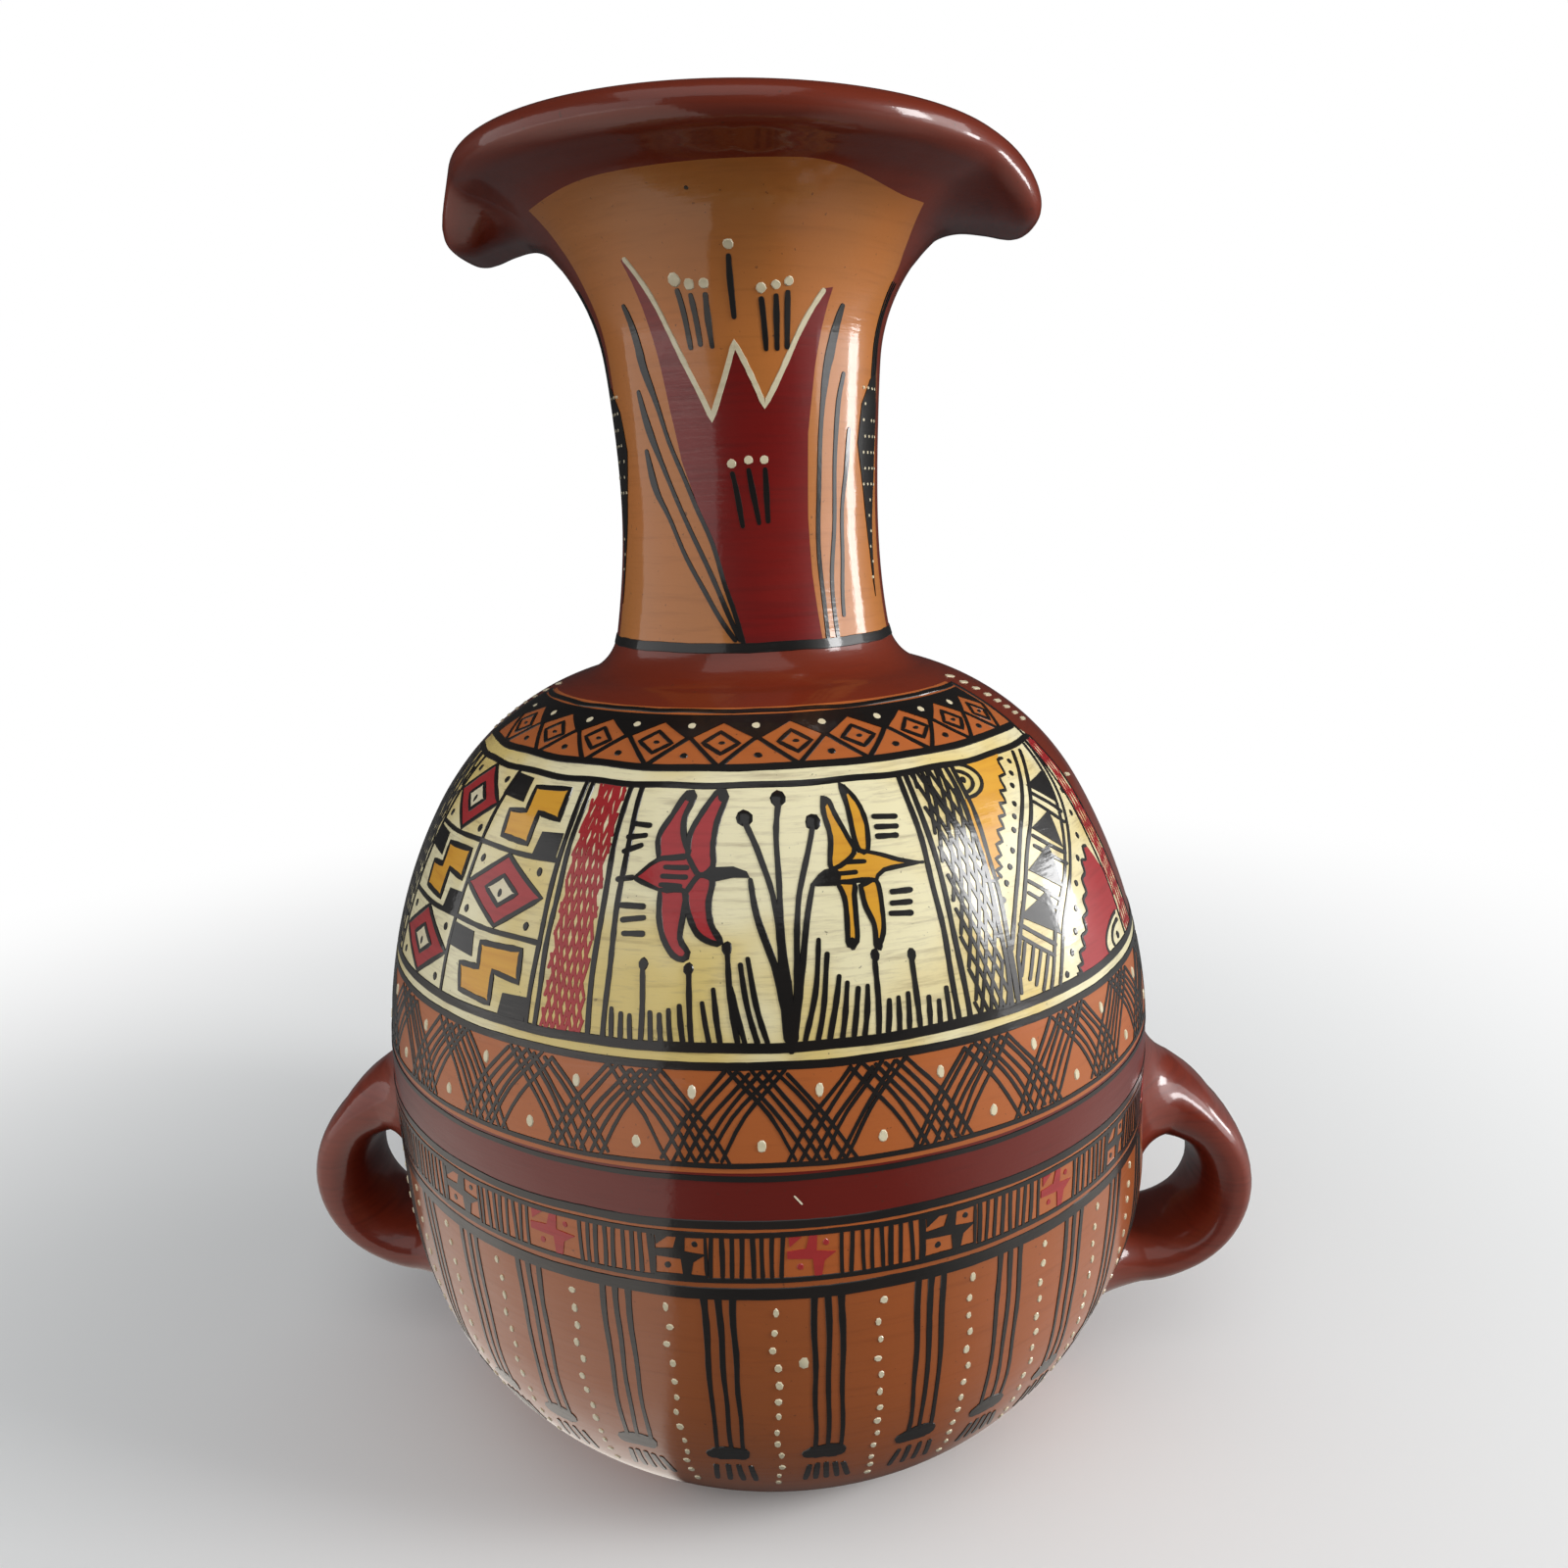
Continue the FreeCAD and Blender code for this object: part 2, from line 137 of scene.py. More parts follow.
def eased(share):
    """A share held between 0 and 1, with a soft start and end."""
    share = np.clip(share, 0, 1)
    return share * share * (3 - 2 * share)


# The clay smeared over the wall behind a handle: its most, its height and its reach
SMEAR = 3.3
SMEAR_HEIGHT = 53.0
SMEAR_UPWARDS = 31.0
SMEAR_ROUND = math.radians(42)


def root_swell(turn, height):
    """How far the wall stands out behind a handle, where clay is smeared over it."""
    beside = eased(1 - np.abs(np.abs(turn) - math.pi / 2) / SMEAR_ROUND)
    level = eased(1 - np.abs(height - SMEAR_HEIGHT) / SMEAR_UPWARDS)
    return SMEAR * beside * level


MOUTH_TILT = math.tan(math.radians(1.3))
MOUTH_ASIDE = 1.0


def uneven(points):
    """Move points as the potter's hands left the clay: not quite round, the mouth askew."""
    points = np.asarray(points, float)
    x, y, z = points[:, 0], points[:, 1], points[:, 2]
    turn = np.arctan2(x, -y)
    swell = 0.18 * np.sin(2 * turn + 0.6) + 0.12 * np.sin(3 * turn + z / 31.0)
    swell += 0.10 * np.sin(z / 9.0 + 1.5 * np.sin(turn))
    body = np.clip(z / 12.0, 0, 1) * np.clip((285 - z) / 20.0, 0, 1)
    radius = np.maximum(np.hypot(x, y), 1e-6)
    push = 1 + (swell * body + root_swell(turn, z)) / np.maximum(radius, 20)
    upper = eased((z - 240.0) / 42.0)
    return np.stack([x * push - MOUTH_ASIDE * upper, y * push, z - MOUTH_TILT * x * upper], 1)


def on_jar(turns, ways, lifts):
    """Points in metres for places given as degrees round, way up and lift."""
    ways = np.asarray(ways, float)
    nearest_x = np.interp(ways, ALONG, WAY[:, 0])
    nearest_z = np.interp(ways, ALONG, WAY[:, 1])
    out_x = np.interp(ways, ALONG, SLOPE[:, 1])
    out_z = -np.interp(ways, ALONG, SLOPE[:, 0])
    radius = nearest_x + out_x * lifts
    height = nearest_z + out_z * lifts
    turn = np.radians(turns)
    points = np.stack([radius * np.sin(turn), -radius * np.cos(turn), height], 1)
    return uneven(points) * MM


print("way from foot to mouth", round(ALONG[-1]), "mm")

# %% [markdown]
# The clay skin
# The real jar is built of a base slab, walls of clay and a thrown neck, and the joins are
# smoothed away. So the skin is one closed shell. Its outline runs up the outside, over
# the rolled lip and down the inside, and Spin turns it round the axis. The lip leans out
# from the flare in an almost straight slope and rolls over to its crown.

# %% The section of the wall
SECTION_WALL = 6.0
NECK_WALL = 5.5
FLOOR = 7.0
RIM_START = 278.5
RIM_POINTS = 61
# The lip in section, from the flare outwards and up to its crown: radius and height
PLAIN_LIP = ((44.0, 282.5), (47.9, 286.0), (52.4, 289.0), (57.0, 290.7), (60.6, 291.9),
             (62.8, 293.7), (63.2, 295.8), (62.3, 297.9), (60.2, 299.4), (57.3, 300.0))
LIP_INSIDE = ((54.2, 299.7), (51.0, 298.4), (48.4, 296.2), (46.2, 293.2), (44.3, 290.0))


def even_curve(corners, count):
    """A smooth curve through corners, with the same number of points for each stretch."""
    knots = np.array(corners, float)
    knots = np.vstack([2 * knots[0] - knots[1], knots, 2 * knots[-1] - knots[-2]])
    places = np.linspace(0, len(corners) - 1, count)
    points = []
    for place in places:
        i = min(int(place), len(corners) - 2)
        s = place - i
        a, b, c, d = knots[i:i + 4]
        points.append(0.5 * (2 * b + (c - a) * s + (2 * a - 5 * b + 4 * c - d) * s ** 2
                             + (3 * b - a - 3 * c + d) * s ** 3))
    return np.array(points)


def inner_wall(points, wall):
    """Points a wall's thickness inside a stretch of the outline."""
    path = np.array(points)
    run = np.gradient(path, axis=0)
    run /= np.hypot(run[:, 0], run[:, 1])[:, None]
    return [(x - wall * dz, z + wall * dx) for (x, z), (dx, dz) in zip(path, run)]


rim_foot = (float(np.interp(RIM_START, WAY[:, 1], WAY[:, 0])), RIM_START)
plain_rim = even_curve((rim_foot,) + PLAIN_LIP, RIM_POINTS)
outside = [p for p in outline if p[1] < RIM_START - 0.6]
neck_part = [p for p in outline if 190.0 < p[1] < 279.0]
body_part = [p for p in outline if 16.0 < p[1] < 180.0]
inside = inner_wall(neck_part, NECK_WALL)[::-1] + inner_wall(body_part, SECTION_WALL)[::-1]
floor_edge = [(62.0, 9.5), (57.0, 7.4), (50.0, FLOOR), (30.0, FLOOR)]
section = [(0.0, 0.0), (30.0, 0.0), (56.0, 0.0), (59.5, 0.1)] + outside[1:]
section += [tuple(p) for p in plain_rim]
section += [tuple(p) for p in even_curve((PLAIN_LIP[-1],) + LIP_INSIDE, 22)[1:]]
section += inside + floor_edge + [(0.0, FLOOR)]
print("wall section of", len(section), "points")

# %% Spin the section
ROUND_STEPS = 168


def deselect_all():
    """Nothing stays selected, so that an operator acts on the new piece alone."""
    for thing in bpy.context.selected_objects:
        thing.select_set(False)


def activate(piece):
    """Make a piece the one that operators act on."""
    deselect_all()
    piece.select_set(True)
    bpy.context.view_layer.objects.active = piece


def new_piece(name, points, edges=(), faces=()):
    """A new mesh object at the origin, from points in metres."""
    mesh = bpy.data.meshes.new(name)
    mesh.from_pydata([tuple(p) for p in points], list(edges), list(faces))
    mesh.update()
    piece = bpy.data.objects.new(name, mesh)
    bpy.context.scene.collection.objects.link(piece)
    activate(piece)
    return piece


def move_points(piece, points):
    """Put a piece's points at new places, in metres."""
    piece.data.vertices.foreach_set("co", np.asarray(points, np.float32).ravel())
    piece.data.update()


def points_of(piece):
    """A piece's points, in metres."""
    flat = np.zeros(len(piece.data.vertices) * 3, np.float32)
    piece.data.vertices.foreach_get("co", flat)
    return flat.reshape(-1, 3).astype(float)


def finish_mesh(smooth_angle=40, weld=True):
    """Weld doubles, turn the faces outwards and shade the piece smooth."""
    bpy.ops.object.mode_set(mode="EDIT")
    bpy.ops.mesh.select_all(action="SELECT")
    if weld:
        bpy.ops.mesh.remove_doubles(threshold=1e-6)
    bpy.ops.mesh.normals_make_consistent(inside=False)
    bpy.ops.object.mode_set(mode="OBJECT")
    bpy.ops.object.shade_smooth_by_angle(angle=math.radians(smooth_angle))


wall_line = [(x * MM, 0.0, z * MM) for x, z in section]
links = [(i, i + 1) for i in range(len(wall_line) - 1)]
clay_skin = new_piece("clay_skin", wall_line, edges=links)
bpy.ops.object.mode_set(mode="EDIT")
bpy.ops.mesh.select_all(action="SELECT")
bpy.ops.mesh.spin(steps=ROUND_STEPS, angle=math.radians(360), center=(0, 0, 0), axis=(0, 0, 1))
bpy.ops.object.mode_set(mode="OBJECT")
finish_mesh(60)
print("clay skin", len(clay_skin.data.polygons), "faces")

# %% [markdown]
# The lugs under the lip
# On the old jars an animal's head sits under the lip on each side. Here each lug is only
# pinched out of the lip's own clay, so it has no edge of its own. The lip's section at
# the middle of a lug is drawn as a second curve with the same number of points. Each
# point of the skin then moves from the plain curve towards that one, the more the nearer
# it lies to the side of the jar. The left lug hangs lower and keeps a crease.

# %% Pinch the lugs
RIGHT_LUG = ((44.4, 282.6), (48.2, 285.5), (53.5, 286.2), (59.6, 285.3), (64.8, 284.4),
             (68.2, 286.2), (68.6, 290.0), (66.6, 294.6), (63.0, 298.6), (57.5, 300.1))
LEFT_LUG = ((44.4, 282.4), (49.2, 284.4), (54.8, 283.2), (60.3, 281.4), (64.8, 282.3),
            (66.6, 286.0), (65.2, 290.6), (62.2, 294.2), (63.2, 297.9), (58.0, 300.1))
# Degrees from a lug's middle at which it has full size and at which it ends
RIGHT_REACH = (5.0, 29.0)
LEFT_REACH = (6.0, 21.0)


def pinch_lug(p, side, lug_corners, reach):
    """Move the lip's points near one side towards the lug's section."""
    lug_rim = even_curve((rim_foot,) + lug_corners, RIM_POINTS)
    radius = np.hypot(p[:, 0], p[:, 1])
    away = np.degrees(np.abs(np.arctan2(-p[:, 1], side * p[:, 0])))
    share = eased((reach[1] - away) / (reach[1] - reach[0]))
    for plain, pinched in zip(plain_rim, lug_rim):
        near = (np.hypot(radius - plain[0], p[:, 2] - plain[1]) < 0.02) & (share > 0)
        target = radius[near] + (pinched[0] - plain[0]) * share[near]
        p[near, 2] += (pinched[1] - plain[1]) * share[near]
        p[near, 0] *= target / radius[near]
        p[near, 1] *= target / radius[near]
    return p


skin_points = points_of(clay_skin) / MM
skin_points = pinch_lug(skin_points, 1, RIGHT_LUG, RIGHT_REACH)
skin_points = pinch_lug(skin_points, -1, LEFT_LUG, LEFT_REACH)
move_points(clay_skin, uneven(skin_points) * MM)
print("the lugs reach", round(float(np.abs(skin_points[:, 0]).max()), 1), "mm out")

# %% [markdown]
# The handles
# A potter rolls a strap of clay, bends it into a loop and lutes both ends to the belly,
# smearing the clay out over the wall. The strap is extruded here ring by ring along its
# path, as it is bent by hand. At each root the rings then spread over the belly's own
# curve, which gives the soft fillet that the photo shows.

# %% The path of a strap
LOOP_MIDDLE = (98.0, 49.0)
LOOP_RADIUS = 22.0
RING_POINTS = 40
STRAP_RINGS = 32
STRAP_HALF_WIDTH = 16.0
# Half the thickness at places along the strap, from its upper root to its lower one
PLACES = (0.0, 0.25, 0.5, 0.75, 1.0)
HALF_THICK = (10.0, 7.1, 7.2, 6.5, 7.3)
# How much thicker the strap is outwards than inwards, at places of its own
OUTER_PLACES = (0.0, 0.12, 0.24, 0.86, 1.0)
OUTER_MORE = (3.0, 0.5, -0.6, -0.6, 1.1)
# The smaller the power, the flatter the strap's outside
FLAT_PLACES = (0.0, 0.25, 0.75, 1.0)
FLAT_POWER = (0.85, 0.62, 0.62, 0.85)


def strap_ring(share):
    """The section of the strap at a share of its way: flat outside, round inside."""
    turn = math.radians(180.0 * share)
    out = Vector((math.sin(turn), 0.0, math.cos(turn)))
    middle = Vector((LOOP_MIDDLE[0], 0.0, LOOP_MIDDLE[1])) + out * LOOP_RADIUS
    inner = float(np.interp(share, PLACES, HALF_THICK))
    outer = inner + float(np.interp(share, OUTER_PLACES, OUTER_MORE))
    flatness = float(np.interp(share, FLAT_PLACES, FLAT_POWER))
    ring = []
    for i in range(RING_POINTS):
        t = 2 * math.pi * i / RING_POINTS
        c, s = math.cos(t), math.sin(t)
        wide = STRAP_HALF_WIDTH * math.copysign(abs(s) ** 0.9, s)
        thick = outer * abs(c) ** flatness if c > 0 else -inner * abs(c)
        ring.append(middle + out * thick + Vector((0, wide, 0)))
    return ring


def belly_x(y, z):
    """How far out the belly's wall stands at a place beside and above."""
    radius = float(radius_at(max(z, 0.3)))
    radius += float(root_swell(math.pi / 2 + y / radius, z))
    return math.sqrt(max(radius ** 2 - y ** 2, 1.0))


# %% Spread a root over the belly
ROOT_RINGS = 12
# How far the fillet hangs off the wall and how soon it turns outwards
HANG = 0.25
TURN_OUT = 0.22
SUNK_INTO_WALL = 0.25
# The upper fillet takes the place of the strap's first rings
RINGS_GIVEN_UP = 3
# How far each root spreads up, sideways and down
UPPER_REACH = (17.0, 9.0, 4.0)
LOWER_REACH = (3.0, 8.0, 15.5)


def spread(ring, reach_up, reach_side, reach_down):
    """Rings from the strap's end out over the belly, one after another."""
    centre = sum(ring, Vector()) / len(ring)
    tall = max(p.z for p in ring) - centre.z
    ends = []
    for p in ring:
        dy, dz = (p.y - centre.y) / STRAP_HALF_WIDTH, (p.z - centre.z) / tall
        size = max(math.hypot(dy, dz), 1e-6)
        y = p.y + reach_side * dy / size
        z = p.z + (reach_up if dz > 0 else reach_down) * dz / size
        bend = Vector((belly_x(p.y, p.z), p.y, p.z)).lerp(p, HANG)
        bend.z += (z - p.z) * TURN_OUT
        bend.y += (y - p.y) * TURN_OUT
        land = Vector((belly_x(y, z) - SUNK_INTO_WALL, y, z))
        ends.append((p, bend, land))
    rings = []
    for k in range(1, ROOT_RINGS + 1):
        t = k / ROOT_RINGS
        rings.append([p * (1 - t) ** 2 + bend * (2 * t * (1 - t)) + land * t * t
                      for p, bend, land in ends])
    sunk = [Vector((land.x - 3.0, land.y * 0.98, land.z)) for p, bend, land in ends]
    return rings + [sunk]


def handle_rings():
    """All rings of a handle, from inside the wall at the top to inside it below."""
    strap = [strap_ring(i / STRAP_RINGS) for i in range(STRAP_RINGS + 1)]
    strap = strap[RINGS_GIVEN_UP:]
    top = spread(strap[0], *UPPER_REACH)
    low = spread(strap[-1], *LOWER_REACH)
    return top[::-1] + strap + low


rings = handle_rings()
print("a handle has", len(rings), "rings of", RING_POINTS, "points")

# %% Extrude a handle ring by ring
def place_ring(ring_points, ring, side):
    """Set the points of the newest ring."""
    for vertex, p in zip(ring_points, ring):
        vertex.co = Vector((side * p.x, p.y, p.z)) * MM


def extrude_handle(name, side):
    """Start with a circle and extrude it once for every ring of the path."""
    deselect_all()
    bpy.ops.mesh.primitive_circle_add(vertices=RING_POINTS, radius=10 * MM, fill_type="NGON")
    piece = bpy.context.active_object
    piece.name = name
    piece.data.name = name
    bpy.ops.object.mode_set(mode="EDIT")
    edit = bmesh.from_edit_mesh(piece.data)
    edit.verts.ensure_lookup_table()
    place_ring(list(edit.verts), rings[0], side)
    for ring in rings[1:]:
        before = len(edit.verts)
        bpy.ops.mesh.extrude_region_move()
        edit = bmesh.from_edit_mesh(piece.data)
        edit.verts.ensure_lookup_table()
        place_ring(list(edit.verts)[before:], ring, side)
    bmesh.update_edit_mesh(piece.data)
    bpy.ops.object.mode_set(mode="OBJECT")
    finish_mesh(70)
    return piece


handle_right_strap = extrude_handle("handle_right_strap", 1)
handle_left_strap = extrude_handle("handle_left_strap", -1)
print("handle", len(handle_right_strap.data.polygons), "faces")

# %% [markdown]
# Slip colours and varnish
# The jar is painted with slips over the whole clay and then varnished. Every material is
# built by one function. It takes the slip's colour, makes it cloudy and streaky as a
# brushed clay is, roughens it a little and lays a clear coat on top. All patterns are
# read from the jar's own coordinates, so they stay where they are.

# %% Helpers for materials
def srgb(red, green, blue):
    """A colour as a screen shows it, as the linear colour that Blender mixes."""
    def linear(value):
        value /= 255.0
        return value / 12.92 if value <= 0.04045 else ((value + 0.055) / 1.055) ** 2.4
    return (linear(red), linear(green), linear(blue), 1.0)


def add(tree, kind, sockets=None, **settings):
    """Add a node, set its options and fill its sockets with values or links."""
    made = tree.nodes.new(kind)
    for key, value in settings.items():
        setattr(made, key, value)
    for key, value in (sockets or {}).items():
        if isinstance(value, bpy.types.NodeSocket):
            tree.links.new(value, made.inputs[key])
        else:
            made.inputs[key].default_value = value
    return made


def calc(tree, operation, first, second=0.0):
    """One step of arithmetic on a value."""
    return add(tree, "ShaderNodeMath", {0: first, 1: second}, operation=operation).outputs[0]


def blend_colours(tree, share, first, second, kind="MIX"):
    """Two colours mixed by a share."""
    mixer = add(tree, "ShaderNodeMix", {0: share, 6: first, 7: second},
                data_type="RGBA", blend_type=kind)
    return mixer.outputs[2]


def remap(tree, value, low, high, new_low=0.0, new_high=1.0):
    """A value's range stretched to another one and held at its ends."""
    spread_out = add(tree, "ShaderNodeMapRange", {0: value, 1: low, 2: high, 3: new_low,
                                                  4: new_high}, interpolation_type="SMOOTHSTEP")
    return spread_out.outputs[0]


def noise(tree, place, scale, detail=3.0, rough=0.55, stretch=None):
    """Soft noise at a scale per metre, squeezed along one way where asked."""
    if stretch:
        place = add(tree, "ShaderNodeMapping", {0: place, 3: stretch}).outputs[0]
    return add(tree, "ShaderNodeTexNoise",
               {"Vector": place, "Scale": scale, "Detail": detail, "Roughness": rough}).outputs[0]


def ramp(tree, value, stops, way="CONSTANT"):
    """A colour ramp with stops of position and colour."""
    made = add(tree, "ShaderNodeValToRGB", {0: value})
    made.color_ramp.interpolation = way
    steps = made.color_ramp.elements
    while len(steps) < len(stops):
        steps.new(1.0)
    for step, (position, colour) in zip(steps, stops):
        step.position = position
        step.color = colour
    return made.outputs[0]


print("material helpers are ready")

# %% The varnished surface
GRAIN_AROUND = (1.0, 1.0, 14.0)


def varnished(name, paint_it, rough=0.42, coat=0.7, grain=0.25):
    """A material whose colour comes from paint_it, under one clear coat."""
    material = bpy.data.materials.new(name)
    material.use_nodes = True
    tree = material.node_tree
    shader = tree.nodes["Principled BSDF"]
    place = add(tree, "ShaderNodeTexCoord").outputs["Object"]
    streaks = noise(tree, place, 55.0, 5.0, 0.6, GRAIN_AROUND)
    clouds = noise(tree, place, 16.0, 3.0)
    fine = noise(tree, place, 900.0, 2.0)
    tree.links.new(paint_it(tree, place, streaks, clouds, fine), shader.inputs["Base Color"])
    wear = calc(tree, "ADD", calc(tree, "MULTIPLY", clouds, 0.20),
                calc(tree, "MULTIPLY", streaks, 0.16))
    tree.links.new(calc(tree, "ADD", wear, rough - 0.18), shader.inputs["Roughness"])
    shader.inputs["Specular IOR Level"].default_value = 0.25
    shader.inputs["Coat Weight"].default_value = coat
    shader.inputs["Coat Roughness"].default_value = 0.05
    shader.inputs["Coat IOR"].default_value = 1.48
    swell = noise(tree, place, 34.0, 2.0, 0.5)
    soft = add(tree, "ShaderNodeBump", {"Height": swell, "Distance": 0.0011, "Strength": 0.55})
    brushed = calc(tree, "ADD", streaks, calc(tree, "MULTIPLY", fine, 0.35))
    bump = add(tree, "ShaderNodeBump", {"Height": brushed, "Distance": 0.00022,
                                        "Strength": grain, "Normal": soft.outputs[0]})
    tree.links.new(bump.outputs[0], shader.inputs["Normal"])
    tree.links.new(bump.outputs[0], shader.inputs["Coat Normal"])
    return material


def slip(colour, shade, glow, streak=0.45, cloud=0.5):
    """A slip's colour that drifts to a darker shade in streaks and a lighter glow in clouds."""
    def paint_it(tree, place, streaks, clouds, fine):
        darker = calc(tree, "MULTIPLY", remap(tree, streaks, 0.42, 0.70), streak)
        lighter = calc(tree, "MULTIPLY", remap(tree, clouds, 0.48, 0.72), cloud)
        mixed = blend_colours(tree, darker, srgb(*colour), srgb(*shade))
        return blend_colours(tree, lighter, mixed, srgb(*glow))
    return paint_it


red_slip = varnished("red_slip", slip((120, 42, 24), (90, 28, 16), (144, 62, 40)))
black_slip = varnished("black_slip", slip((24, 21, 19), (14, 13, 13), (44, 34, 28)), 0.40)
cream_slip = varnished("cream_slip", slip((228, 216, 182), (203, 186, 146), (240, 232, 208)))
lily_slip = varnished("lily_slip", slip((122, 12, 6), (92, 8, 4), (142, 30, 18)))
crimson_slip = varnished("crimson_slip", slip((168, 36, 40), (138, 26, 30), (186, 62, 58)))
yellow_slip = varnished("yellow_slip", slip((222, 160, 44), (196, 124, 32), (236, 186, 84)))
print("six slips")

# %% [markdown]
# The ground colours
# The bands of ground colour lie in rings, so a colour ramp over the height gives them.
# The painted panels cover only the front: the neck's tan and the belly's cream stop at
# two upright edges, and plain red slip covers the back. The edges' places round the jar
# drift with height, so a second and third ramp hold them.

# %% Ground bands
LOWER_FIELD = srgb(162, 88, 42)
ORANGE = srgb(180, 98, 46)
RED_BAND = srgb(106, 22, 10)
CREAM = srgb(240, 230, 188)
SHOULDER_RED = srgb(116, 40, 18)
TAN = srgb(186, 116, 54)
# Each band starts at its height in millimetres
BANDS = ((0.0, LOWER_FIELD), (79.2, ORANGE), (92.4, RED_BAND), (102.0, ORANGE),
         (121.9, CREAM), (174.1, ORANGE), (183.4, SHOULDER_RED), (194.8, TAN))
# How many degrees the front reaches to the right and to the left, by height
RIGHT_EDGE = ((0, 180), (126.4, 180), (126.8, 74.8), (171.2, 71.2), (174.4, 69), (185, 68),
              (192, 77), (250, 77), (275, 71), (282, 63), (290, 54))
LEFT_EDGE = ((0, 180), (126.4, 180), (126.8, 76), (185, 73), (192, 69), (207, 69),
             (272, 64), (289, 59))
# The red patch in a handle's loop: its reach in half turns, and in millimetres upwards
LOOP_RED = (0.052, 27.0)
LIP_RED = 288.5
LIP_DIP_RIGHT = 3.4
LIP_DIP_LEFT = 1.0


def ground_colour(tree, place, streaks, clouds, fine):
    """The slip that covers the clay at a place on the jar."""
    xyz = add(tree, "ShaderNodeSeparateXYZ", {0: place}).outputs
    rise = calc(tree, "DIVIDE", xyz[2], JAR_HEIGHT * MM)
    turn = calc(tree, "ARCTAN2", xyz[0], calc(tree, "MULTIPLY", xyz[1], -1.0))
    wander = calc(tree, "MULTIPLY", calc(tree, "SUBTRACT", clouds, 0.5), 0.05)
    turn = calc(tree, "DIVIDE", calc(tree, "ADD", turn, wander), math.pi)
    turn = calc(tree, "MAXIMUM", calc(tree, "MINIMUM", turn, 0.999), -0.999)
    bands = ramp(tree, rise, [(z / JAR_HEIGHT, colour) for z, colour in BANDS])
    edges = []
    for edge in (RIGHT_EDGE, LEFT_EDGE):
        stops = [(z / JAR_HEIGHT, (a / 180,) * 3 + (1,)) for z, a in edge]
        edges.append(ramp(tree, rise, stops, "LINEAR"))
    past_right = calc(tree, "GREATER_THAN", turn, edges[0])
    past_left = calc(tree, "GREATER_THAN", calc(tree, "MULTIPLY", turn, -1.0), edges[1])
    back = calc(tree, "MAXIMUM", past_right, past_left)
    # The lip's red comes down further beside the lugs, most on the right
    dip = calc(tree, "MULTIPLY", remap(tree, turn, 0.10, 0.30), LIP_DIP_RIGHT / JAR_HEIGHT)
    other_dip = calc(tree, "MULTIPLY", remap(tree, turn, -0.32, -0.14, 1.0, 0.0),
                     LIP_DIP_LEFT / JAR_HEIGHT)
    lip_line = calc(tree, "SUBTRACT", LIP_RED / JAR_HEIGHT, calc(tree, "ADD", dip, other_dip))
    back = calc(tree, "MAXIMUM", back, calc(tree, "GREATER_THAN", rise, lip_line))
    # The wall inside each handle's loop is coloured the same dark red as the back
    across = calc(tree, "SUBTRACT", calc(tree, "ABSOLUTE", turn), 0.5)
    across = calc(tree, "DIVIDE", calc(tree, "ABSOLUTE", across), LOOP_RED[0])
    along = calc(tree, "SUBTRACT", rise, LOOP_MIDDLE[1] / JAR_HEIGHT)
    along = calc(tree, "DIVIDE", calc(tree, "ABSOLUTE", along), LOOP_RED[1] / JAR_HEIGHT)
    from_middle = calc(tree, "ADD", calc(tree, "POWER", across, 2.0),
                       calc(tree, "POWER", along, 2.0))
    in_loop = calc(tree, "LESS_THAN", from_middle, 1.0)
    back = calc(tree, "MAXIMUM", back, in_loop)
    ground = blend_colours(tree, back, bands, SHOULDER_RED)
    stops = [(0, (0,) * 4), (121.9 / JAR_HEIGHT, (1,) * 4), (174.1 / JAR_HEIGHT, (0,) * 4)]
    pale = calc(tree, "MULTIPLY", ramp(tree, rise, stops), calc(tree, "SUBTRACT", 1.0, back))
    wash = calc(tree, "MULTIPLY", remap(tree, clouds, 0.46, 0.60), pale)
    ground = blend_colours(tree, calc(tree, "MULTIPLY", wash, 0.74), ground, srgb(220, 188, 86))
    grain = noise(tree, place, 130.0, 4.0, 0.65, (1.0, 1.0, 9.0))
    grain = calc(tree, "MULTIPLY", remap(tree, grain, 0.50, 0.72), pale)
    ground = blend_colours(tree, calc(tree, "MULTIPLY", grain, 0.30), ground, srgb(158, 138, 108))
    smoke = calc(tree, "MULTIPLY", remap(tree, streaks, 0.50, 0.74),
                 calc(tree, "ADD", 0.13, calc(tree, "MULTIPLY", pale, 0.20)))
    ground = blend_colours(tree, smoke, ground, srgb(112, 74, 44), "MULTIPLY")
    patchy = noise(tree, place, 9.0, 4.0, 0.6)
    ground = blend_colours(tree, calc(tree, "MULTIPLY", remap(tree, patchy, 0.45, 0.75), 0.30),
                           ground, srgb(236, 200, 160), "OVERLAY")
    specks = calc(tree, "MULTIPLY", remap(tree, fine, 0.70, 0.76), 0.55)
    return blend_colours(tree, specks, ground, srgb(60, 42, 30))


painted_ground = varnished("painted_ground", ground_colour, 0.40)
bare_clay = varnished("bare_clay", slip((168, 104, 66), (132, 78, 48), (186, 126, 86)), 0.85,
                      0.0, 0.9)
print("ground bands", len(BANDS))

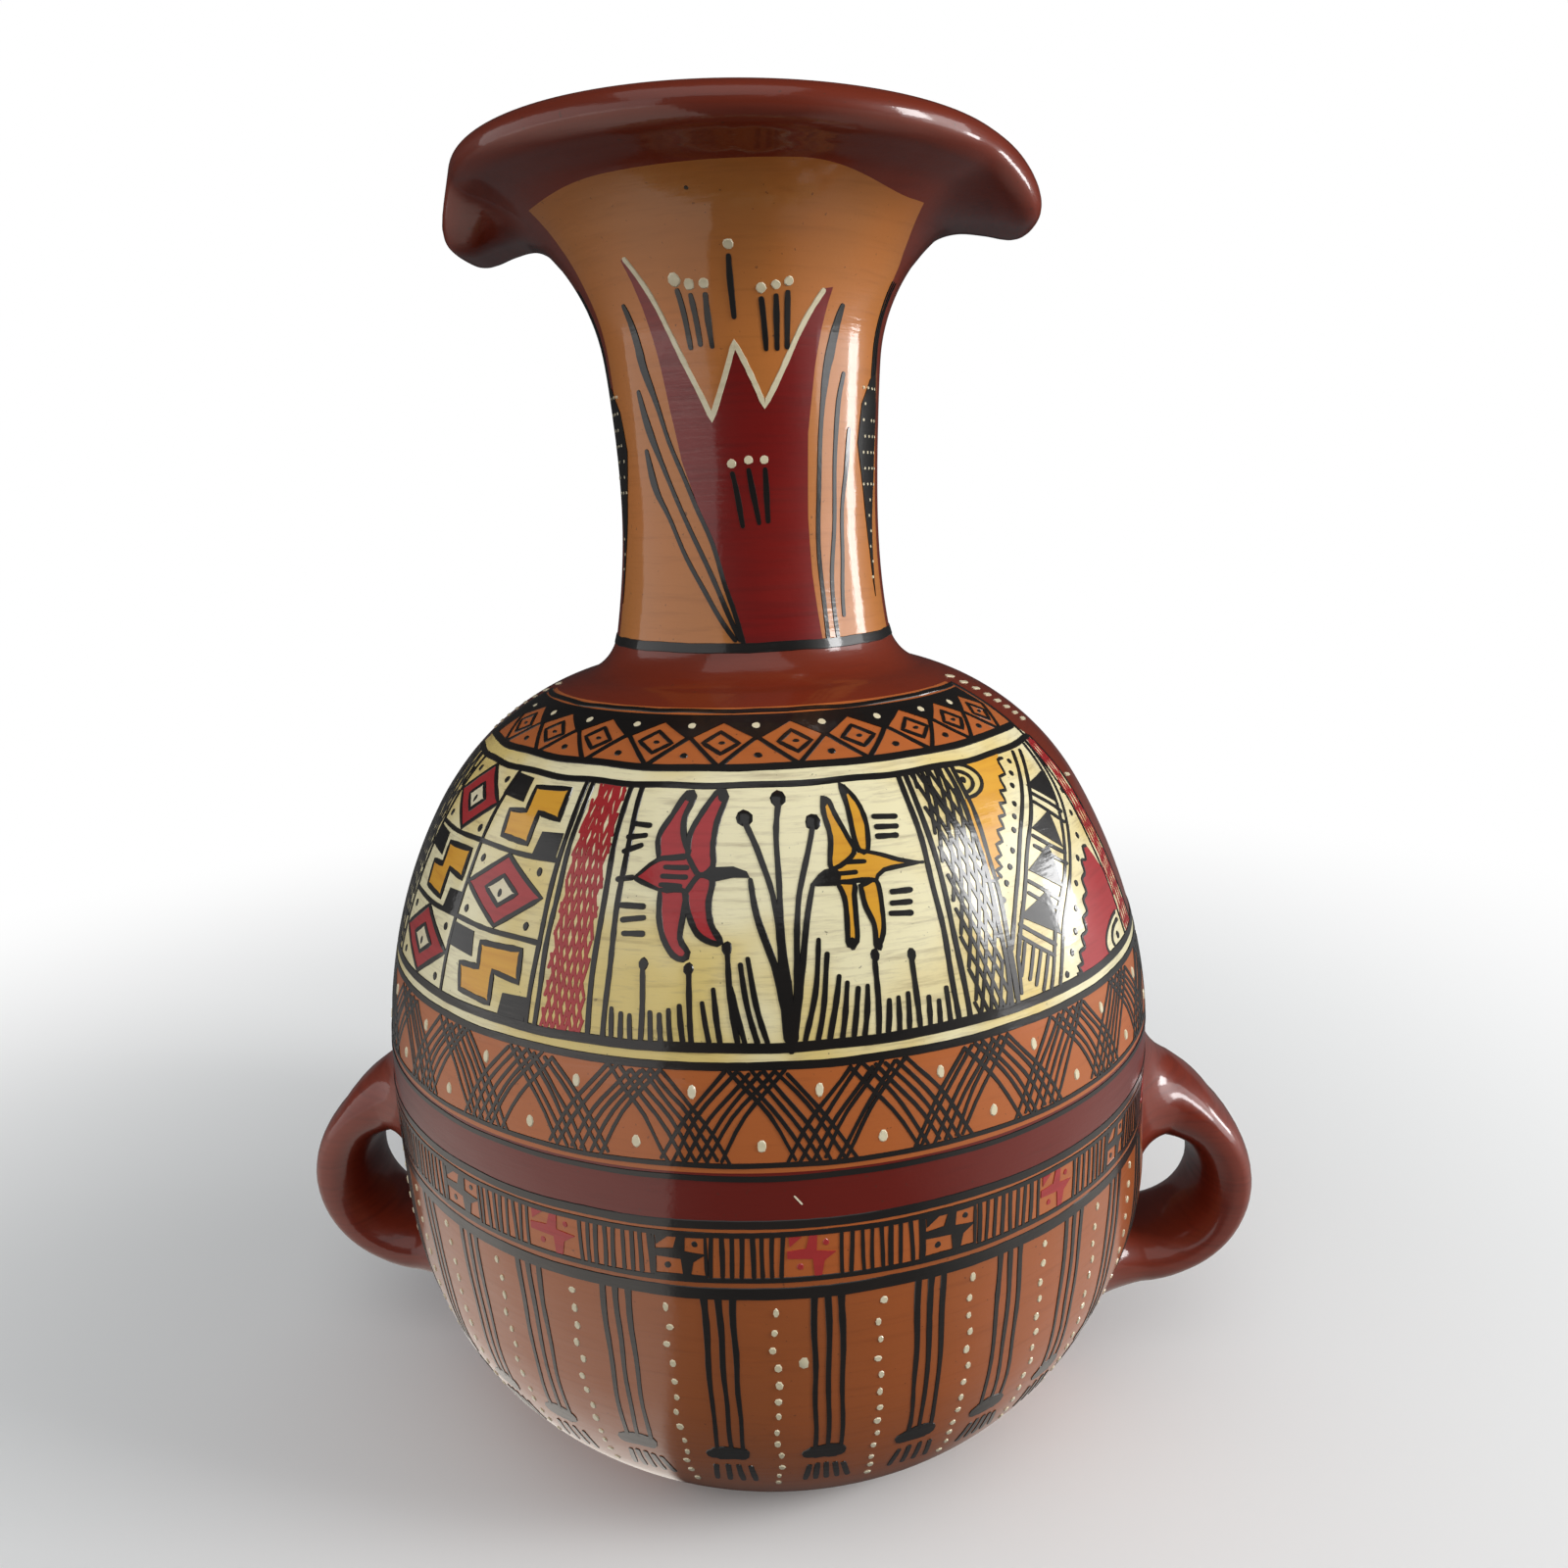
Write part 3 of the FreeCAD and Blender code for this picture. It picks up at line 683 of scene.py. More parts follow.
# %% Give each part its slip
clay_skin.data.materials.append(painted_ground)
clay_skin.data.materials.append(red_slip)
clay_skin.data.materials.append(bare_clay)
INSIDE_SLIP_FOOT = 215 * MM
LIP_CROWN = 57.5 * MM
UNDERSIDE_TOP = 0.4 * MM
FLOOR_ABOUT = 20 * MM
for face in clay_skin.data.polygons:
    middle = face.center
    facing_way = face.normal
    inward = middle.x * facing_way.x + middle.y * facing_way.y < 0
    underside = middle.z < UNDERSIDE_TOP
    deep_inside = inward and middle.z < INSIDE_SLIP_FOOT
    on_the_floor = facing_way.z > 0.9 and middle.z < FLOOR_ABOUT
    if inward and middle.z > INSIDE_SLIP_FOOT and middle.xy.length < LIP_CROWN:
        face.material_index = 1
    elif underside or deep_inside or on_the_floor:
        face.material_index = 2
for piece in (handle_left_strap, handle_right_strap):
    piece.data.materials.append(red_slip)
print("slips laid on three pieces")

# %% [markdown]
# Brushes
# The painter's brush gives three kinds of mark: a stroke, a dot and a filled shape. Each
# is a thin skin of slip, a tenth to a fifth of a millimetre thick, that follows the clay.
# A stroke is a row of small cross-sections along a smooth path, a little unsteady, with
# rounded ends. Marks of one colour are kept together and become one piece.

# %% The slip pots
hand = np.random.default_rng(11)


class Paint:
    """One colour of slip with all marks made in it."""

    def __init__(self, name, material, lift):
        self.name = name
        self.material = material
        self.lift = lift
        self.points = []
        self.faces = []
        self.shapes = []

    def add_mark(self, points, faces):
        """Keep a mark's points and faces."""
        first = len(self.points)
        self.points += np.asarray(points).tolist()
        self.faces += [[first + i for i in face] for face in faces]


black = Paint("black_lines", black_slip, 0.18)
low_black = Paint("black_lines_low", black_slip, 0.15)
cream = Paint("cream_marks", cream_slip, 0.20)
lily = Paint("dark_red_shapes", lily_slip, 0.10)
crimson = Paint("crimson_marks", crimson_slip, 0.12)
yellow = Paint("yellow_shapes", yellow_slip, 0.12)
paints = [black, low_black, cream, lily, crimson, yellow]
print("slip pots:", [p.name for p in paints])


# %% The stroke
def girth(ways):
    """Millimetres per degree round the jar at places along the outline."""
    return np.radians(np.interp(ways, ALONG, WAY[:, 0]))


def smooth_path(places, step, curved, closed):
    """Even points along a path through places, as degrees round and way up."""
    knots = np.array([(t, way_up(h)) for t, h in places], float)
    if closed:
        # A ring closes one whole turn further on, a small outline where it began
        turns_made = round((knots[-1, 0] - knots[0, 0]) / 360)
        knots = np.vstack([knots, knots[:1] + (360 * turns_made, 0)])
    pieces = []
    for i in range(len(knots) - 1):
        a, b = knots[i], knots[i + 1]
        across = (b[0] - a[0]) * girth(np.array([(a[1] + b[1]) / 2]))[0]
        count = max(1, int(math.ceil(math.hypot(across, b[1] - a[1]) / step)))
        share = np.arange(count)[:, None] / count
        if curved and len(knots) > 2:
            before = knots[i - 1] if i > 0 else 2 * a - b
            after = knots[i + 2] if i + 2 < len(knots) else 2 * b - a
            bend = (-before + 3 * a - 3 * b + after) * share ** 3
            bend += (2 * before - 5 * a + 4 * b - after) * share ** 2
            pieces.append(a + 0.5 * ((b - before) * share + bend))
        else:
            pieces.append(a + (b - a) * share)
    path = np.vstack(pieces)
    return path if closed else np.vstack([path, knots[-1:]])


# A mark's edge lies this far inside the clay, so that no gap shows under it
UNDER_CLAY = -0.06
# A stroke's width at its tip and just before it, and how far it is rounded off
TIP_WIDTHS = (0.42, 0.85)
EDGE_ROUND = 0.16


def with_tips(rows, shares=(1, 1)):
    """Rows with two more at each end, scaled by the shares from the tip inwards."""
    front = [rows[0] * share for share in shares]
    rear = [rows[-1] * share for share in shares[::-1]]
    return np.concatenate([front, rows, rear])


def stroke(paint, places, width, curved=True, closed=False, step=2.2, steady=0.90, lift=None):
    """A brush stroke through places given as degrees round and height."""
    path = smooth_path(places, step, curved, closed)
    scale = girth(path[:, 1])
    flat = np.stack([path[:, 0] * scale, path[:, 1]], 1)
    if closed:
        run = np.roll(path, -1, 0) - np.roll(path, 1, 0)
        run[:, 0] = (run[:, 0] + 180) % 360 - 180
    else:
        run = np.gradient(path, axis=0)
    run = np.stack([run[:, 0] * scale, run[:, 1]], 1)
    run /= np.maximum(np.hypot(run[:, 0], run[:, 1]), 1e-9)[:, None]
    across = np.stack([-run[:, 1], run[:, 0]], 1)
    gone = np.concatenate([[0], np.cumsum(np.hypot(*np.diff(flat, axis=0).T))])
    if np.ndim(width):
        marks = np.linspace(0, 1, len(width))
        half = np.interp(gone / max(gone[-1], 1e-6), marks, width) / 2
    else:
        half = np.full(len(path), width / 2.0)
    half = 1.05 * half * hand.uniform(steady, 2 - steady, len(path))
    # The hand wanders a little from the path, the more the longer the stroke
    sway = min(0.13, gone[-1] * 0.012) * (0.0 if closed else 1.0)
    flat += across * (sway * np.sin(gone / hand.uniform(2.6, 4.6) + hand.uniform(0, 6)))[:, None]
    if not closed:
        tip = min(half[0], gone[-1] * 0.2)
        end = min(half[-1], gone[-1] * 0.2)
        moved = flat.copy()
        moved[0] += run[0] * tip * 0.9
        moved[-1] -= run[-1] * end * 0.9
        flat = np.concatenate([[flat[0], flat[0] + run[0] * tip * 0.35], moved,
                               [flat[-1] - run[-1] * end * 0.35, flat[-1]]])
        half = with_tips(half, TIP_WIDTHS)
        across = with_tips(across)
        scale = with_tips(scale)
    lift = paint.lift if lift is None else lift
    count = len(flat)
    sides = []
    inner = np.maximum(0.8, 1 - EDGE_ROUND / np.maximum(half, 0.05))
    for side, high in ((1.0, UNDER_CLAY), (inner, lift), (-inner, lift), (-1.0, UNDER_CLAY)):
        spot = flat + across * (half * side)[:, None]
        sides.append(on_jar(spot[:, 0] / scale, spot[:, 1], high))
    points = np.stack(sides, 1).reshape(-1, 3)
    faces = []
    last = count if closed else count - 1
    for i in range(last):
        j = (i + 1) % count
        for k in range(4):
            m = (k + 1) % 4
            faces.append((i * 4 + k, i * 4 + m, j * 4 + m, j * 4 + k))
    if not closed:
        faces.append((3, 2, 1, 0))
        faces.append(tuple((count - 1) * 4 + k for k in range(4)))
    paint.add_mark(points, faces)


def dot(paint, turn, height, wide, high=None, lift=None, corners=9):
    """A round or oval touch of the brush."""
    high = wide if high is None else high
    lift = paint.lift if lift is None else lift
    way = float(way_up(height))
    scale = float(girth(np.array([way]))[0])
    spin = hand.uniform(0, 1)
    angles = [2 * math.pi * (i + spin) / corners for i in range(corners)]
    rim = hand.uniform(0.9, 1.08, corners)
    rows = []
    for size, level in ((1.0, UNDER_CLAY), (0.78, lift)):
        turns = [turn + wide / 2 * size * r * math.cos(a) / scale for a, r in zip(angles, rim)]
        ways = [way + high / 2 * size * r * math.sin(a) for a, r in zip(angles, rim)]
        rows.append(on_jar(turns, ways, level))
    points = np.vstack(rows)
    faces = [(i, (i + 1) % corners, corners + (i + 1) % corners, corners + i)
             for i in range(corners)]
    faces += [tuple(range(corners))[::-1], tuple(range(corners, 2 * corners))]
    paint.add_mark(points, faces)


def fill(paint, places, lift=None):
    """A shape to be filled with slip, by the places of its outline."""
    paint.shapes.append((places, paint.lift if lift is None else lift))


print("brushes are ready")

# %% [markdown]
# Filled shapes
# A filled shape can't be laid over a curved jar in one flat face. So all shapes of one
# colour are first drawn on a flat sheet, where across is degrees and up is the way along
# the outline. The sheet is cut into narrow strips with Bisect, given its thickness with
# Solidify, and then wrapped round the jar point by point.

# %% Wrap the filled shapes round the jar
SHEET_SCALE = 1.6
STRIP_TURN = 3.0
STRIP_RISE = 5.0
SHEET_THICK = 0.3


def wrap_shapes(paint):
    """Draw, cut, thicken and wrap a colour's filled shapes as one mesh."""
    points, faces = [], []
    for places, lift in paint.shapes:
        first = len(points)
        points += [(t * SHEET_SCALE, way_up(h), lift) for t, h in places]
        faces.append(list(range(first, len(points))))
    sheet = new_piece(paint.name + "_sheet", points, faces=faces)
    bpy.ops.object.mode_set(mode="EDIT")
    bpy.ops.mesh.select_all(action="SELECT")
    bpy.ops.mesh.quads_convert_to_tris(quad_method="BEAUTY", ngon_method="BEAUTY")
    spots = np.array(points)
    for column, spacing in ((0, STRIP_TURN * SHEET_SCALE), (1, STRIP_RISE)):
        cut = math.ceil(spots[:, column].min() / spacing) * spacing
        while cut < spots[:, column].max():
            plane_co = (cut, 0, 0) if column == 0 else (0, cut, 0)
            plane_no = (1, 0, 0) if column == 0 else (0, 1, 0)
            bpy.ops.mesh.select_all(action="SELECT")
            bpy.ops.mesh.bisect(plane_co=plane_co, plane_no=plane_no)
            cut += spacing
    bpy.ops.mesh.select_all(action="SELECT")
    bpy.ops.mesh.normals_make_consistent(inside=False)
    bpy.ops.object.mode_set(mode="OBJECT")
    bpy.ops.object.modifier_add(type="SOLIDIFY")
    thick = sheet.modifiers[-1]
    thick.thickness = SHEET_THICK
    thick.offset = 0.0
    bpy.ops.object.modifier_apply(modifier=thick.name)
    p = points_of(sheet)
    move_points(sheet, on_jar(p[:, 0] / SHEET_SCALE, p[:, 1], p[:, 2] - SHEET_THICK / 2))
    return sheet


def finish_paint(paint):
    """Make one piece of all marks in a colour."""
    marks = None
    if paint.points:
        marks = new_piece(paint.name, paint.points, faces=paint.faces)
    if paint.shapes:
        sheet = wrap_shapes(paint)
        if marks:
            activate(marks)
            sheet.select_set(True)
            bpy.ops.object.join()
        else:
            marks = sheet
            marks.name = paint.name
    activate(marks)
    finish_mesh(35, weld=False)
    marks.data.materials.append(paint.material)
    print(paint.name, len(marks.data.polygons), "faces")
    return marks


print("shapes can be wrapped")

# %% [markdown]
# Rings and panels
# The painter sets the jar turning and holds a loaded brush to it, which gives the rings.
# Rings below the main picture run all the way round. The ones above it belong to the
# front and stop at the edges of the panel.

# %% Rings
PANEL_LEFT = -76.0


def panel_right(height):
    """Where the painted front ends on the right, in degrees."""
    return float(np.interp(height, (126, 171.2, 174.4, 185), (74.8, 71.2, 69.0, 68.0)))


def ring(paint, low, high, start=None, end=None):
    """A ring between two heights, right round or from one edge to another."""
    middle = (low + high) / 2
    width = float(way_up(high) - way_up(low))
    right_round = start is None
    turns = np.arange(-180, 180, 6) if right_round else np.linspace(start, end, 24)
    places = [(t, middle + hand.uniform(-0.12, 0.12)) for t in turns]
    stroke(paint, places, width, closed=right_round, steady=0.97)


for low, high in ((76.0, 78.7), (79.7, 80.9), (89.7, 90.9), (91.4, 93.3), (101.4, 102.6),
                  (104.0, 105.1), (122.6, 124.2)):
    ring(low_black, low, high)
ring(black, 125.7, 127.6)
ring(black, 193.6, 195.8)
for low, high in ((171.0, 172.1), (173.9, 175.1), (183.1, 183.7)):
    ring(black, low, high, PANEL_LEFT, panel_right(high))
print("rings of black on the belly and the neck")

# %% The band of diamonds
DIAMONDS = (-59, -44, -30, -16, -2.5, 12, 25, 38.5, 50, 61.5)
DIAMOND_TOP, DIAMOND_WAIST, DIAMOND_FOOT = 181.6, 178.9, 175.1
BAND_TOP = 182.8
between = [(a + b) / 2 for a, b in zip(DIAMONDS, DIAMONDS[1:])]
waists = [2 * DIAMONDS[0] - between[0]] + between + [2 * DIAMONDS[-1] - between[-1]]
field = [(PANEL_LEFT + 1, BAND_TOP), (PANEL_LEFT + 2, 174.5), (-69.5, 174.8)]
for centre, left in zip(DIAMONDS, waists):
    field += [(left, DIAMOND_WAIST), (centre, DIAMOND_TOP)]
field += [(waists[-1], DIAMOND_WAIST), (waists[-1], BAND_TOP)]
fill(black, field)
for i, centre in enumerate(DIAMONDS):
    left, right_end = waists[i], waists[i + 1]
    stroke(black, [(left, DIAMOND_WAIST + 0.5), (centre, DIAMOND_FOOT - 0.5)], 1.1)
    stroke(black, [(centre, DIAMOND_FOOT - 0.5), (right_end, DIAMOND_WAIST + 0.5)], 1.1)
    half = (right_end - left) / 2 * hand.uniform(0.46, 0.54)
    mid = (DIAMOND_TOP + DIAMOND_FOOT) / 2 + 0.1
    nested = [(centre - half, mid), (centre - 0.3, mid + 1.75), (centre + half, mid - 0.1),
              (centre + 0.2, mid - 1.75)]
    stroke(black, nested, 1.0, curved=False, closed=True, step=0.9)
    dot(black, centre + 0.2, mid, 1.6, 1.0)
for waist in waists[1:-1]:
    dot(black, waist, 176.4, 1.9, 1.6)
    dot(cream, waist + hand.uniform(-0.5, 0.5), 181.1, 2.1, 2.2)
dot(cream, -66.5, 181.0, 2.2, 1.5)
print("diamonds:", len(DIAMONDS))

# %% [markdown]
# The neck
# A dark red flower like a lily stands on the neck between reeds. Its petals end in a zigzag
# edge that is drawn over in cream, with small stamens above: black bars with a cream head.

# %% The lily
petal_edge = [(-32.5, 275.5), (-23.0, 262.0), (-8.5, 243.0), (2.0, 258.5), (12.0, 245.5),
              (23.5, 257.0), (35.5, 269.0)]
left_side = [(-34.0, 275.0), (-31.0, 263.0), (-28.5, 255.0), (-26.3, 246.0), (-22.6, 235.0),
             (-14.7, 222.5), (-9.0, 212.5), (-2.3, 204.0), (1.5, 195.6)]
right_side = [(31.5, 195.6), (29.5, 210.0), (28.8, 222.0), (29.5, 240.0), (33.0, 253.5),
              (37.0, 264.0), (38.9, 269.4)]
fill(lily, left_side + right_side + petal_edge[::-1])
stroke(cream, petal_edge, 1.25, curved=False, step=1.5)


def stamen(head, foot, crown=2.4):
    """A black bar with a cream head."""
    stroke(black, [head, foot], (1.2, 1.4, 1.1))
    dot(cream, head[0], head[1] + 1.6, crown, crown)


for head, foot, crown in (((-16.4, 269.0), (-14.2, 257.3), 3.0),
                          ((-11.6, 268.0), (-10.8, 257.8), 2.5),
                          ((-6.6, 268.0), (-6.3, 257.3), 2.4), ((2.6, 274.6), (2.5, 262.8), 2.4),
                          ((12.5, 267.0), (13.7, 256.5), 2.4), ((17.6, 267.6), (17.9, 256.6), 2.2),
                          ((22.0, 268.3), (21.6, 256.9), 2.2), ((-1.7, 232.4), (2.2, 220.4), 2.4),
                          ((5.1, 233.0), (8.3, 220.9), 2.2), ((11.2, 233.0), (12.3, 221.2), 2.2)):
    stamen(head, foot, crown)
dot(black, -6.4, 285.0, 1.0)
print("lily with ten stamens")

# %% The reeds of the neck
def reed(places, head=2.5, stalk=1.15, head_share=0.28):
    """A reed: a long narrow head at the first place and a thin stalk from there."""
    share = np.linspace(0, 1, 15)
    swell = np.exp(-((share - head_share * 0.5) / (head_share * 0.42)) ** 2)
    stroke(black, places, stalk + (head - stalk) * swell, steady=0.96)


reed([(-41.0, 267.5), (-38.4, 258.8), (-35.7, 252.0), (-25.3, 235.3), (-11.2, 217.5),
      (1.3, 195.0)], 2.5)
reed([(-42.3, 250.5), (-38.8, 242.5), (-32.9, 234.5), (-21.3, 221.4), (-9.2, 207.4),
      (0.0, 196.0)], 2.3)
reed([(-41.8, 238.0), (-37.2, 229.3), (-30.6, 222.8), (-16.6, 208.7), (-2.0, 196.0)], 2.2)
reed([(45.2, 266.5), (40.3, 257.0), (37.6, 250.5), (34.6, 234.0), (33.4, 215.5),
      (34.1, 195.6)], 2.6)
reed([(47.6, 252.8), (44.3, 246.5), (42.9, 236.6), (41.5, 221.5), (38.9, 208.8),
      (38.5, 195.6)], 1.5)
reed([(51.2, 241.2), (48.8, 232.3), (46.8, 225.9), (45.0, 213.0), (43.0, 200.0)], 1.6)
cob = [(74.5, 253.5), (67.6, 252.0), (60.0, 246.5), (57.0, 238.0), (61.6, 227.5),
       (66.0, 214.0), (67.6, 203.5), (70.2, 221.0), (73.4, 231.0), (76.0, 245.0)]
for side in (1, -1):
    fill(black, [(side * t, h) for t, h in cob])
    for k in range(3):
        foot = side * (69.5 + 2.0 * k)
        stroke(black, [(foot, 252.0), (foot + side * 1.2, 263.0), (foot + side * 3.0, 273.0)],
               (1.0, 0.8, 0.5))
    for k in range(13):
        row_height = 250.0 - 3.5 * k
        for t in ((61.5, 65.5, 69.5, 73.0) if k < 7 else (66.5,)):
            if hand.random() < 0.8:
                dot(cream, side * (t + 1.4 * (k % 2) + 0.05 * k), row_height, 1.1, 0.9, corners=6)
print("six reeds and two cobs")

# %% [markdown]
# The main picture
# The widest band holds a row of panels on a cream ground. From the left they are a narrow
# net, a checker of diamonds and stepped shapes, a red net, the two birds among reeds and
# grass, a black net, and a fan of dotted and toothed stripes. Each panel ends at a double
# line. All panels stand between the same two heights.

# %% Upright lines of the picture
PICTURE_FOOT, PICTURE_TOP = 127.0, 171.6


def upright(foot, top, width=1.25):
    """A black line from the picture's foot to its top, as brushed by hand."""
    rise = PICTURE_TOP - PICTURE_FOOT
    places = [(foot + (top - foot) * s, PICTURE_FOOT + rise * s) for s in (0, 0.34, 0.67, 1)]
    stroke(black, places, width)


for foot, top in ((-26.6, -26.2), (-25.2, -25.0), (-17.6, -17.4), (-15.4, -15.2),
                  (28.4, 28.8), (30.0, 30.2), (36.6, 38.9), (37.6, 40.3), (-62.4, -62.2),
                  (-76.0, -74.6)):
    upright(foot, top)
print("double lines between the panels")


# %% Nets
def net(paint, foot, top, pitch, width, slant):
    """Crossing strokes between two upright edges, given at the foot and at the top."""
    rise = PICTURE_TOP - PICTURE_FOOT
    middle = radius_at((PICTURE_FOOT + PICTURE_TOP) / 2) * math.radians(1)
    for way in (1, -1):
        lean = way * slant
        start = min(foot[0], top[0]) - rise / middle * abs(lean)
        stop = max(foot[1], top[1]) + rise / middle * abs(lean)
        count = int((stop - start) / pitch)
        for k in range(count + 1):
            at = start + pitch * (k + hand.uniform(-0.12, 0.12))
            lean = way * slant * hand.uniform(0.97, 1.03)
            inside_part = []
            for s in np.linspace(0, 1, 45):
                t = at + lean * rise * s / middle
                edge_low = foot[0] + (top[0] - foot[0]) * s
                edge_high = foot[1] + (top[1] - foot[1]) * s
                if edge_low <= t <= edge_high:
                    inside_part.append((t + hand.uniform(-0.06, 0.06), PICTURE_FOOT + rise * s))
            if len(inside_part) > 3:
                stroke(paint, inside_part[::3] + inside_part[-1:], width, step=3.0)


net(crimson, (-24.4, -18.3), (-24.0, -18.0), 0.92, 0.76, 0.27)
net(black, (30.9, 36.3), (31.1, 38.5), 1.36, 0.86, 0.33)
net(black, (-75.5, -63.4), (-74.0, -63.2), 1.8, 0.7, 0.42)
print("three nets")

COLUMN = -44.4
ROWS = (PICTURE_TOP, 157.4, 142.5, PICTURE_FOOT)
upright(COLUMN, COLUMN, 1.15)
for height in ROWS[1:3]:
    stroke(black, [(-62.0, height), (-44.0, height + 0.2), (-26.6, height - 0.2)], 1.15)


def in_cell(cell, u, v):
    """A place in a cell from its share across and its share up."""
    left, right_end, low, high = cell
    return (left + (right_end - left) * u, low + (high - low) * v)


def checker_diamond(cell):
    """A crimson diamond with a cream heart, a black drop and four dots."""
    outer = [(0.03, 0.49), (0.47, 0.97), (0.97, 0.52), (0.53, 0.04)]
    fill(crimson, [in_cell(cell, u, v) for u, v in outer], 0.11)
    stroke(black, [in_cell(cell, u, v) for u, v in outer], 1.2, curved=False, closed=True)
    heart = [(0.5 + (u - 0.5) * 0.42, 0.5 + (v - 0.5) * 0.42) for u, v in outer]
    fill(cream, [in_cell(cell, u, v) for u, v in heart], 0.15)
    stroke(black, [in_cell(cell, u, v) for u, v in heart], 1.2, curved=False, closed=True,
           step=1.2)
    dot(black, *in_cell(cell, 0.50, 0.47), 1.5, 2.3)
    for u, v in ((0.12, 0.84), (0.88, 0.84), (0.12, 0.14), (0.88, 0.14)):
        dot(black, *in_cell(cell, u, v), 1.7, 2.0)


STEP_SHAPE = ((0.42, 0.84), (0.92, 0.88), (0.94, 0.48), (0.64, 0.53), (0.65, 0.11),
              (0.25, 0.15), (0.19, 0.49), (0.45, 0.52))


def checker_step(cell):
    """A yellow stepped shape with a black edge, and two black corner blocks."""
    shape = [in_cell(cell, 0.04 + u * 0.92, v) for u, v in STEP_SHAPE]
    fill(yellow, shape)
    stroke(black, shape, 1.4, curved=False, closed=True, step=1.5)
    for block in (((-0.03, 0.66), (-0.02, 0.97), (0.31, 0.94), (0.35, 0.62)),
                  ((0.74, -0.01), (0.77, 0.30), (1.02, 0.32), (1.01, -0.01))):
        fill(black, [in_cell(cell, u, v) for u, v in block], 0.16)


for row in range(3):
    high, low = ROWS[row] - 0.3, ROWS[row + 1] + 0.4
    left_cell = (-61.8, COLUMN, low, high)
    right_cell = (COLUMN, -27.2, low, high)
    checker_diamond(left_cell if row % 2 == 0 else right_cell)
    checker_step(right_cell if row % 2 == 0 else left_cell)
print("checker of six cells")

# %% [markdown]
# The birds
# Two birds fly towards each edge of their panel, a red one and a yellow one. Each has two
# wings up and two down, drawn as narrow leaves with black edges, and a black tail that
# runs out into one of the reeds. The wings are given as outlines about the bird's middle.

# %% Red bird and yellow bird
def about(middle, points):
    """Places from points that are given about a middle."""
    return [(middle[0] + t, middle[1] + h) for t, h in points]


def leaf(paint, places, edge=1.3):
    """A filled leaf with a black edge."""
    fill(paint, places)
    stroke(black, places, edge, closed=True, step=1.3)


RED_BIRD = (-6.5, 156.4)
red_wings = (
    ((-3.6, 2.9), (-4.1, 6.6), (-2.5, 10.3), (-0.6, 14.0), (0.6, 13.4), (-0.5, 9.9),
     (-0.2, 6.3), (0.6, 3.5)),
    ((0.6, 3.5), (0.7, 7.2), (2.3, 10.9), (4.6, 14.3), (5.8, 13.3), (4.6, 9.1), (4.2, 4.9),
     (4.3, 1.7), (2.5, 0.2)),
    ((-2.9, -2.5), (-2.7, -7.0), (-1.9, -10.7), (-0.5, -13.5), (0.8, -14.2), (1.4, -13.0),
     (0.3, -10.6), (0.6, -5.9), (0.6, -2.6)),
    ((0.6, -3.0), (1.4, -6.8), (2.6, -9.8), (4.4, -11.2), (5.6, -11.2), (4.3, -8.1),
     (3.9, -4.4), (4.3, -0.6), (2.5, 0.2)))
red_body = ((-6.7, -0.6), (-3.8, 2.7), (0.6, 3.6), (4.3, 1.8), (4.3, -0.8), (0.6, -3.1),
            (-2.9, -2.5))
for wing in red_wings:
    leaf(crimson, about(RED_BIRD, wing))
fill(crimson, about(RED_BIRD, red_body), 0.135)
for head_edge in (((0.4, 3.4), (-3.8, 2.7), (-6.9, -0.6)), ((-6.9, -0.6), (-2.9, -2.5))):
    stroke(black, about(RED_BIRD, head_edge), (1.1, 1.2, 0.7))
for bar in (((-2.8, 1.5), (1.0, 1.5)), ((-3.1, -0.1), (0.9, -0.1)), ((-3.2, -1.5), (0.2, -1.7))):
    stroke(black, about(RED_BIRD, bar), 1.15)
for t, h in about(RED_BIRD, ((-0.2, 13.4), (5.2, 13.4))):
    dot(black, t, h, 2.1, 3.2)
red_tail = ((2.4, 0.0), (4.5, 1.6), (7.2, 1.7), (9.1, 0.8), (9.5, -0.3), (7.2, -0.2),
            (4.5, -0.9))
fill(black, about(RED_BIRD, red_tail), 0.17)

YELLOW_BIRD = (17.8, 156.3)
yellow_wings = (
    ((-3.0, 12.7), (-3.3, 10.2), (-2.9, 6.0), (-3.4, 0.7), (0.1, 2.9), (-0.4, 5.8),
     (-1.6, 9.6), (-2.2, 12.0)),
    ((0.3, 14.7), (0.6, 10.8), (0.6, 5.7), (1.0, 3.3), (2.2, 3.1), (2.9, 7.3), (2.6, 10.6),
     (1.6, 13.0)),
    ((-2.9, -1.7), (-2.2, -4.4), (-2.2, -7.8), (-2.4, -12.7), (-1.3, -12.1), (-1.0, -7.9),
     (-0.8, -4.1), (-0.6, -2.2)),
    ((0.3, -2.8), (0.5, -6.2), (1.3, -9.7), (1.2, -13.7), (2.3, -11.3), (2.7, -7.5),
     (2.6, -2.2)))
yellow_body = ((-3.4, 0.7), (0.0, 3.0), (2.7, 2.4), (4.6, 1.4), (9.0, -0.2), (4.0, -0.3),
               (2.5, -2.3), (-2.9, -1.7))
for wing in yellow_wings:
    leaf(yellow, about(YELLOW_BIRD, wing), 1.15)
fill(yellow, about(YELLOW_BIRD, yellow_body), 0.135)
for head_edge in (((1.0, 3.2), (4.4, 1.9), (6.5, 0.9), (10.3, -0.2)),
                  ((2.4, -2.3), (4.0, -0.4), (10.3, -0.2))):
    stroke(black, about(YELLOW_BIRD, head_edge), (0.9, 1.2, 0.6))
for bar in (((-1.6, 1.5), (1.7, 1.3)), ((-3.0, -0.3), (0.2, -0.4)), ((-3.2, -1.9), (1.9, -1.8))):
    stroke(black, about(YELLOW_BIRD, bar), 1.05)
